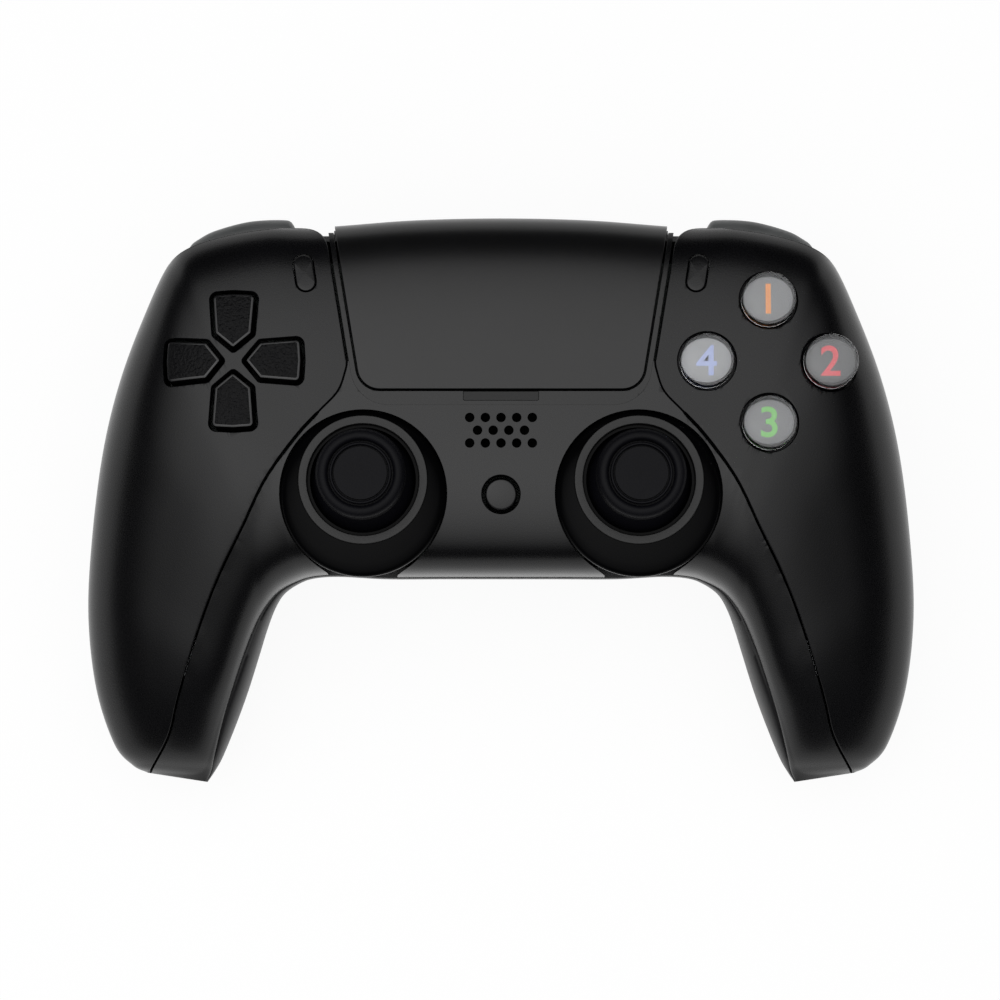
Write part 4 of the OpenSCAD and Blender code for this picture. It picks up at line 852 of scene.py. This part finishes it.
# Light guide: a smoked strip of polycarbonate round the touchpad, sunk a little below the covers, with a
# darker indicator lens let into its lower band. Both are clipped in from inside.
GUIDE_SINK = 0.06
GUIDE_END = 49.4
PAD_GAP = 0.36
INDICATOR = [(-7.1, 16.6, 0.3), (7.1, 16.6, 0.3), (7.1, 18.36, 0.2), (-7.1, 18.36, 0.2)]
guide_smoke = finish("guide_smoke", (0.002, 0.002, 0.0023), 0.28, grain=0.5, depth=0.006, specular=0.28)
guide = loft("light_guide_strip", front_rings(-3.4, 3.4, GUIDE_SINK))
carve(guide, [column("keep", grown(guide_outline, -GUIDE_SEAM), 0.02, -5, GUIDE_SINK)], "INTERSECT")
carve(guide, [column("pad_room", grown(pad_outline, PAD_GAP), -0.12, -5, GUIDE_SINK),
              column("indicator_room", rounded(INDICATOR), -0.04, -5, GUIDE_SINK),
              loft("hollow", front_rings(-4, 4, WALL + GUIDE_SINK, 3)),
              block("under", (-60, 30, 0), (60, 70, 38)), block("ends", (-60, GUIDE_END, 0), (60, 80, 75))])
smooth(guide)
place_piece(guide, guide_smoke, "case", "light_guide_smoke", "light_guide")
window_smoke = finish("window_smoke", (0.002, 0.002, 0.0022), 0.33, grain=0.5, depth=0.006, specular=0.21)
indicator = loft("indicator_lens", front_rings(-1.2, 1.2, GUIDE_SINK))
carve(indicator, [column("keep", grown(rounded(INDICATOR), -0.05), 0.04, -5, GUIDE_SINK)], "INTERSECT")
carve(indicator, [loft("hollow", front_rings(-2, 2, WALL + GUIDE_SINK, 3))])
smooth(indicator)
place_piece(indicator, window_smoke, "case", "light_guide_smoke", "indicator_window")

# Touchpad: a wide plate with a fine matt texture, curved over the back edge. It tips on its rear hinge.
# It is moulded in black ABS and cut from the same front loft, with a small radius along its edge.
pad_texture = finish("pad_texture", (0.002, 0.002, 0.0023), 0.3, grain=0.22, depth=0.015, specular=0.31)
pad = loft("touchpad_plate", front_rings(-2.6, 2.6))
carve(pad, [column("keep", pad_outline, 0.2, -5)], "INTERSECT")
carve(pad, [loft("hollow", front_rings(-3.2, 3.2, WALL, 3)), block("under", (-60, 30, 0), (60, 70, 34.4))])
smooth(pad)
place_piece(pad, pad_texture, "touchpad", "touchpad_black", "touchpad")

# Four-way pad: one rocking piece of black ABS with four keys that stand in the windows. The keys have a
# coarse leather-like grain on top and a narrow polished facet round the edge.
KEY_GAP = 0.8
KEY_RISE = 1.1
KEY_EDGE = 0.36
KEY_FACET = 0.15
PLATE_Z = PIVOT_Z - 1.2


def key(name, outline, low, rise, edge, crown=0.0, facet=0.0):
    """Button with an upright wall, a rounded or faceted edge, and a top that follows the face."""
    normals = outward_normals(outline)
    middle = outline.mean(axis=0)
    rows = [np.column_stack([outline, np.full(len(outline), low)])]
    for t in np.linspace(0, math.pi / 2, 2 if facet else 6):
        xy = outline - normals * edge * (1 - math.cos(t))
        rows.append(np.column_stack([xy, face_height(xy) + rise - (facet or edge) * (1 - math.sin(t))]))
    rim = rows[-1][:, :2]
    for share in (0.75, 0.5, 0.25, 0.001):
        xy = middle + (rim - middle) * share
        rows.append(np.column_stack([xy, face_height(xy) + rise + crown * (1 - share**2)]))
    return loft(name, rows)


key_grain = finish("key_grain", (0.0018, 0.0018, 0.0022), 0.36, grain=0.55, depth=0.3, specular=0.075)
keys = []
for quarter in range(4):
    outline = turned_about(window(KEY_GAP), quarter, FOUR_WAY)
    key_outline = counter_clockwise(mirrored(outline, -1))
    keys.append(key("key", key_outline, PLATE_Z, KEY_RISE, KEY_EDGE, facet=KEY_FACET))
for half_x, half_y in ((3, 10.5), (10.5, 3)):
    keys.append(block("plate", (-FOUR_WAY[0] - half_x, FOUR_WAY[1] - half_y, PLATE_Z),
                      (-FOUR_WAY[0] + half_x, FOUR_WAY[1] + half_y, PLATE_Z + 1.6)))
d_pad = smooth(join("four_way_keys", keys), 40)
place_piece(d_pad, key_grain, "d_pad", "key_black", "d_pad")
key_polish = finish("key_polish", (0.004, 0.004, 0.0045), 0.25, grain=0.3, depth=0.002, specular=0.42)
d_pad.data.materials.append(key_polish)
centres = np.array([face.center for face in d_pad.data.polygons]) / MM
below = face_height(centres[:, :2]) + KEY_RISE - centres[:, 2]
for face, drop in zip(d_pad.data.polygons, below):
    if 0.2 * KEY_FACET < drop < 0.8 * KEY_FACET:
        face.material_index = 1

# Face buttons: clear acrylic caps, each moulded over a pale grey disc that carries a printed numeral.
# A flange under the cover keeps the cap in, and a rubber dome lifts it.
CAP_RISE = 2.4
CAP_WALL = 0.32
CAP_SKIRT = 3.4
DISC_DEPTH = 1.5
DISC_T = 0.3
NUMERAL_H = 5.6
NUMERAL_BOLD = 0.1
DISC_TALL = 0.9
DISC_OFF = (-0.2, -0.06)
# Arc, in degrees, of the painted reflection band inside each cap wall, on the lower left only
PAINTED_REFLECTION_ARC = (190, 305)
cap_clear = finish("cap_clear", (0.9, 0.91, 0.92), 0.03, grain=3, depth=0.001, specular=0.5, drift=0.01,
                   Transmission_Weight=1.0, IOR=1.45)
stem_black = finish("stem_black", (0.006, 0.006, 0.007), 0.4, grain=0.4, depth=0.004, specular=0.3)
# Ink colour and disc grey for each button. The four discs are alike, and their different greys are painted
# light and shade: lightest on the west button, darkest on the east.
button_inks = {"north": ((0.95, 0.34, 0.08), 0.21), "east": ((0.8, 0.07, 0.09), 0.09),
               "south": ((0.2, 0.6, 0.13), 0.185), "west": ((0.45, 0.52, 0.82), 0.34)}
for quarter, (where, (ink, painted_light_tone)) in enumerate(button_inks.items()):
    body = "face_button_" + where
    centre = button_centres[quarter]
    rim = face_height(circle(centre, FACE_R, 0)[:, :2])
    top, low = rim.max() + CAP_RISE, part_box(body)[0].z / MM
    disc_z = top - DISC_DEPTH
    inner_r = FACE_R - CAP_WALL
    skirt_z = top - CAP_SKIRT
    profile = [(0, disc_z + 0.05), (inner_r, disc_z + 0.05), (inner_r, skirt_z), (FACE_R, skirt_z)]
    profile += arc(FACE_R - 0.6, top - 1.3, 0.6, 0, 75, 10)
    profile += [(r, top - 0.7 * (r / FACE_R) ** 2) for r in (4.2, 3.4, 2.4, 1.2, 0)]
    cap = smooth(turned(body + "_clear_cap", profile, centre), 40)
    place_piece(cap, cap_clear, body, "clear_button", body)
    seat_z, stem_top, core_r = skirt_z - 0.05, disc_z - DISC_T - 0.02, inner_r - 0.3
    stem = [(0, low), (FACE_R + 1, low), (FACE_R + 1, low + 1.2), (FACE_R, low + 1.2), (FACE_R, seat_z),
            (core_r, seat_z), (core_r, stem_top), (0, stem_top)]
    place_piece(smooth(turned(body + "_stem", stem, centre), 40), stem_black, body, "clear_button")
    # Painted light and shade: the disc's grey tone changes from button to button.
    disc_grey_with_painted_light = finish(where + "_disc_grey_painted_light", (painted_light_tone, painted_light_tone, painted_light_tone * 1.02), 0.5, grain=0.4, depth=0.004,
                       specular=0.3, drift=0.06)
    disc_r = inner_r - 0.26
    plate = [(0, disc_z - DISC_T), (disc_r, disc_z - DISC_T), (disc_r, disc_z - 0.06),
             (disc_r - 0.06, disc_z), (0, disc_z)]
    disc_centre = np.add(centre, DISC_OFF)
    disc = smooth(turned(body + "_disc", plate, disc_centre), 40)
    middle = Matrix.Translation(Vector((*disc_centre, 0)) * MM)
    disc.data.transform(middle @ Matrix.Diagonal((1, DISC_TALL, 1, 1)) @ middle.inverted())
    place_piece(disc, disc_grey_with_painted_light, body, "clear_button")
    # The ink finish prints the numeral and also colours the painted reflection band below.
    ink_and_painted_reflection_finish = finish(where + "_print_and_painted_reflection_ink", ink, 0.5, grain=0.3, depth=0.002, specular=0.3, drift=0.05)
    # Painted reflection: a band of the numeral's ink colour inside the cap wall, on the lower left arc only,
    # stands in for the print seen refracted through the clear wall.
    band = [(inner_r - 0.26, disc_z - 1.6), (inner_r - 0.03, disc_z - 1.6), (inner_r - 0.03, disc_z - 0.4),
            (inner_r - 0.26, disc_z - 0.4)]
    painted_reflection_rings = [[(centre[0] + r * math.cos(a), centre[1] + r * math.sin(a), z) for r, z in band]
            for a in np.radians(np.linspace(*PAINTED_REFLECTION_ARC, 33))]
    place_piece(smooth(loft(body + "_painted_reflection_band", painted_reflection_rings), 40), ink_and_painted_reflection_finish, body, "clear_button")
    text = bpy.data.curves.new(body + "_numeral", "FONT")
    text.body = str(quarter + 1)
    text.size = NUMERAL_H * MM * 1.4
    text.offset = NUMERAL_BOLD * MM
    text.extrude = 0.02 * MM
    text.align_x, text.align_y = "CENTER", "CENTER"
    holder = bpy.data.objects.new(body + "_numeral_curve", text)
    bpy.context.scene.collection.objects.link(holder)
    mesh = bpy.data.meshes.new_from_object(holder.evaluated_get(bpy.context.evaluated_depsgraph_get()))
    bpy.data.objects.remove(holder)
    spots = np.array([v.co for v in mesh.vertices])
    middle = (spots.min(axis=0) + spots.max(axis=0)) / 2
    spot = np.array([*disc_centre, disc_z + 0.022]) * MM - [middle[0], middle[1], 0]
    mesh.transform(Matrix.Translation(spot))
    numeral = bpy.data.objects.new(body + "_numeral", mesh)
    bpy.context.scene.collection.objects.link(numeral)
    place_piece(numeral, ink_and_painted_reflection_finish, body, "clear_button")

# Pill buttons and home button: black ABS keys flush with the covers, each over its own switch.
# A narrow gap runs round each pill, and the home button stands in a wider groove.
key_satin = finish("key_satin", (0.0014, 0.0014, 0.0018), 0.28, grain=0.3, depth=0.01)
for name, side in (("create_button", -1), ("options_button", 1)):
    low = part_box(name)[0].z / MM
    button = key(name + "_key", counter_clockwise(mirrored(pill(), side)), low, 0.1, 0.3)
    place_piece(smooth(button, 40), key_satin, name, "button_black", name)
home_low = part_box("home_button")[0].z / MM
home = key("home_button_key", circle(HOME, HOME_R, 0)[:, :2], home_low, 0.15, 0.35, 0.1)
place_piece(smooth(home, 40), key_satin, "home_button", "button_black", "home_button")

# Studio: a pale floor that reads white to the camera and keeps a soft shadow, one large overhead softbox that
# fades to its edges and hangs a little to the left and front, and the camera almost straight above the face.
FLOOR_HALF = 6.0
FLOOR_Z = -0.0003
GLOW_SHARE = 0.93
floor_mesh = bpy.data.meshes.new("floor")
corners = [(x * FLOOR_HALF, y * FLOOR_HALF, FLOOR_Z) for x, y in ((-1, -1), (1, -1), (1, 1), (-1, 1))]
floor_mesh.from_pydata(corners, [], [(0, 1, 2, 3)])
floor = bpy.data.objects.new("floor", floor_mesh)
bpy.context.scene.collection.objects.link(floor)
floor_white = bpy.data.materials.new("floor_white")
floor_white.use_nodes = True
tree = floor_white.node_tree
tree.nodes.clear()
diffuse = tree.nodes.new("ShaderNodeBsdfDiffuse")
diffuse.inputs["Color"].default_value = (0.85, 0.85, 0.85, 1)
glow = tree.nodes.new("ShaderNodeEmission")
rays = tree.nodes.new("ShaderNodeLightPath")
seen = math_node(tree, "MAXIMUM", rays.outputs["Is Camera Ray"], rays.outputs["Is Glossy Ray"])
seen = math_node(tree, "MAXIMUM", rays.outputs["Is Transmission Ray"], seen)
mix = tree.nodes.new("ShaderNodeMixShader")
out = tree.nodes.new("ShaderNodeOutputMaterial")
tree.links.new(math_node(tree, "MULTIPLY", seen, GLOW_SHARE), mix.inputs["Fac"])
tree.links.new(diffuse.outputs[0], mix.inputs[1])
tree.links.new(glow.outputs[0], mix.inputs[2])
tree.links.new(mix.outputs[0], out.inputs["Surface"])
floor_mesh.materials.append(floor_white)


def softbox(name, place, aim, width, height, watts):
    """Rectangular lamp that the camera doesn't see."""
    lamp = bpy.data.lights.new(name, "AREA")
    lamp.shape = "RECTANGLE"
    lamp.size, lamp.size_y = width, height
    lamp.energy = watts
    box = bpy.data.objects.new(name, lamp)
    box.location = place
    box.rotation_euler = (Vector(aim) - Vector(place)).to_track_quat("-Z", "Y").to_euler()
    box.visible_camera = False
    bpy.context.scene.collection.objects.link(box)
    return lamp


BOX_SIZE = (4.0, 3.0)
BOX_OFF = (-0.4, -0.7)
BOX_Z = 0.95
BOX_WATTS = 123
BOX_REACH = 2.4
BOX_FALLOFF = 2.1
BRIGHT_LEFT = 0.2
overhead = softbox("overhead_softbox", (*BOX_OFF, BOX_Z), (*BOX_OFF, 0), *BOX_SIZE, BOX_WATTS)
overhead.use_nodes = True
tree = overhead.node_tree
spot = tree.nodes.new("ShaderNodeNewGeometry")
in_metres = tree.nodes.new("ShaderNodeVectorMath")
in_metres.operation = "MULTIPLY"
in_metres.inputs[1].default_value = (*BOX_SIZE, 0)
off_centre = tree.nodes.new("ShaderNodeVectorMath")
off_centre.operation = "DISTANCE"
bright = (BOX_SIZE[0] / 2 - BOX_OFF[0] - BRIGHT_LEFT, BOX_SIZE[1] / 2 - BOX_OFF[1], 0)
off_centre.inputs[1].default_value = bright
inward = tree.nodes.new("ShaderNodeMapRange")
inward.inputs["From Max"].default_value = BOX_REACH
inward.inputs["To Min"].default_value = 1
inward.inputs["To Max"].default_value = 0
tree.links.new(spot.outputs["Parametric"], in_metres.inputs[0])
tree.links.new(in_metres.outputs["Vector"], off_centre.inputs[0])
tree.links.new(off_centre.outputs["Value"], inward.inputs["Value"])
fading = math_node(tree, "POWER", inward.outputs["Result"], BOX_FALLOFF)
tree.links.new(fading, tree.nodes["Emission"].inputs["Strength"])
world = bpy.data.worlds.new("studio")
bpy.context.scene.world = world
world.use_nodes = True
world.node_tree.nodes["Background"].inputs["Color"].default_value = (1, 1, 1, 1)
world.node_tree.nodes["Background"].inputs["Strength"].default_value = 0.02

LENS = 129.7
TILT = math.radians(5.6)
AIM = Vector((0, -0.65, 34.0)) * MM
DISTANCE = 0.69
camera_data = bpy.data.cameras.new("camera")
camera_data.lens = LENS
camera_data.sensor_width = 36
camera_data.shift_x, camera_data.shift_y = -0.001, 0.001
camera = bpy.data.objects.new("camera", camera_data)
camera.location = AIM + DISTANCE * Vector((0, -math.sin(TILT), math.cos(TILT)))
camera.rotation_euler = (TILT, 0, 0)
bpy.context.scene.collection.objects.link(camera)
bpy.context.scene.camera = camera
bpy.context.scene.view_settings.view_transform = "Standard"
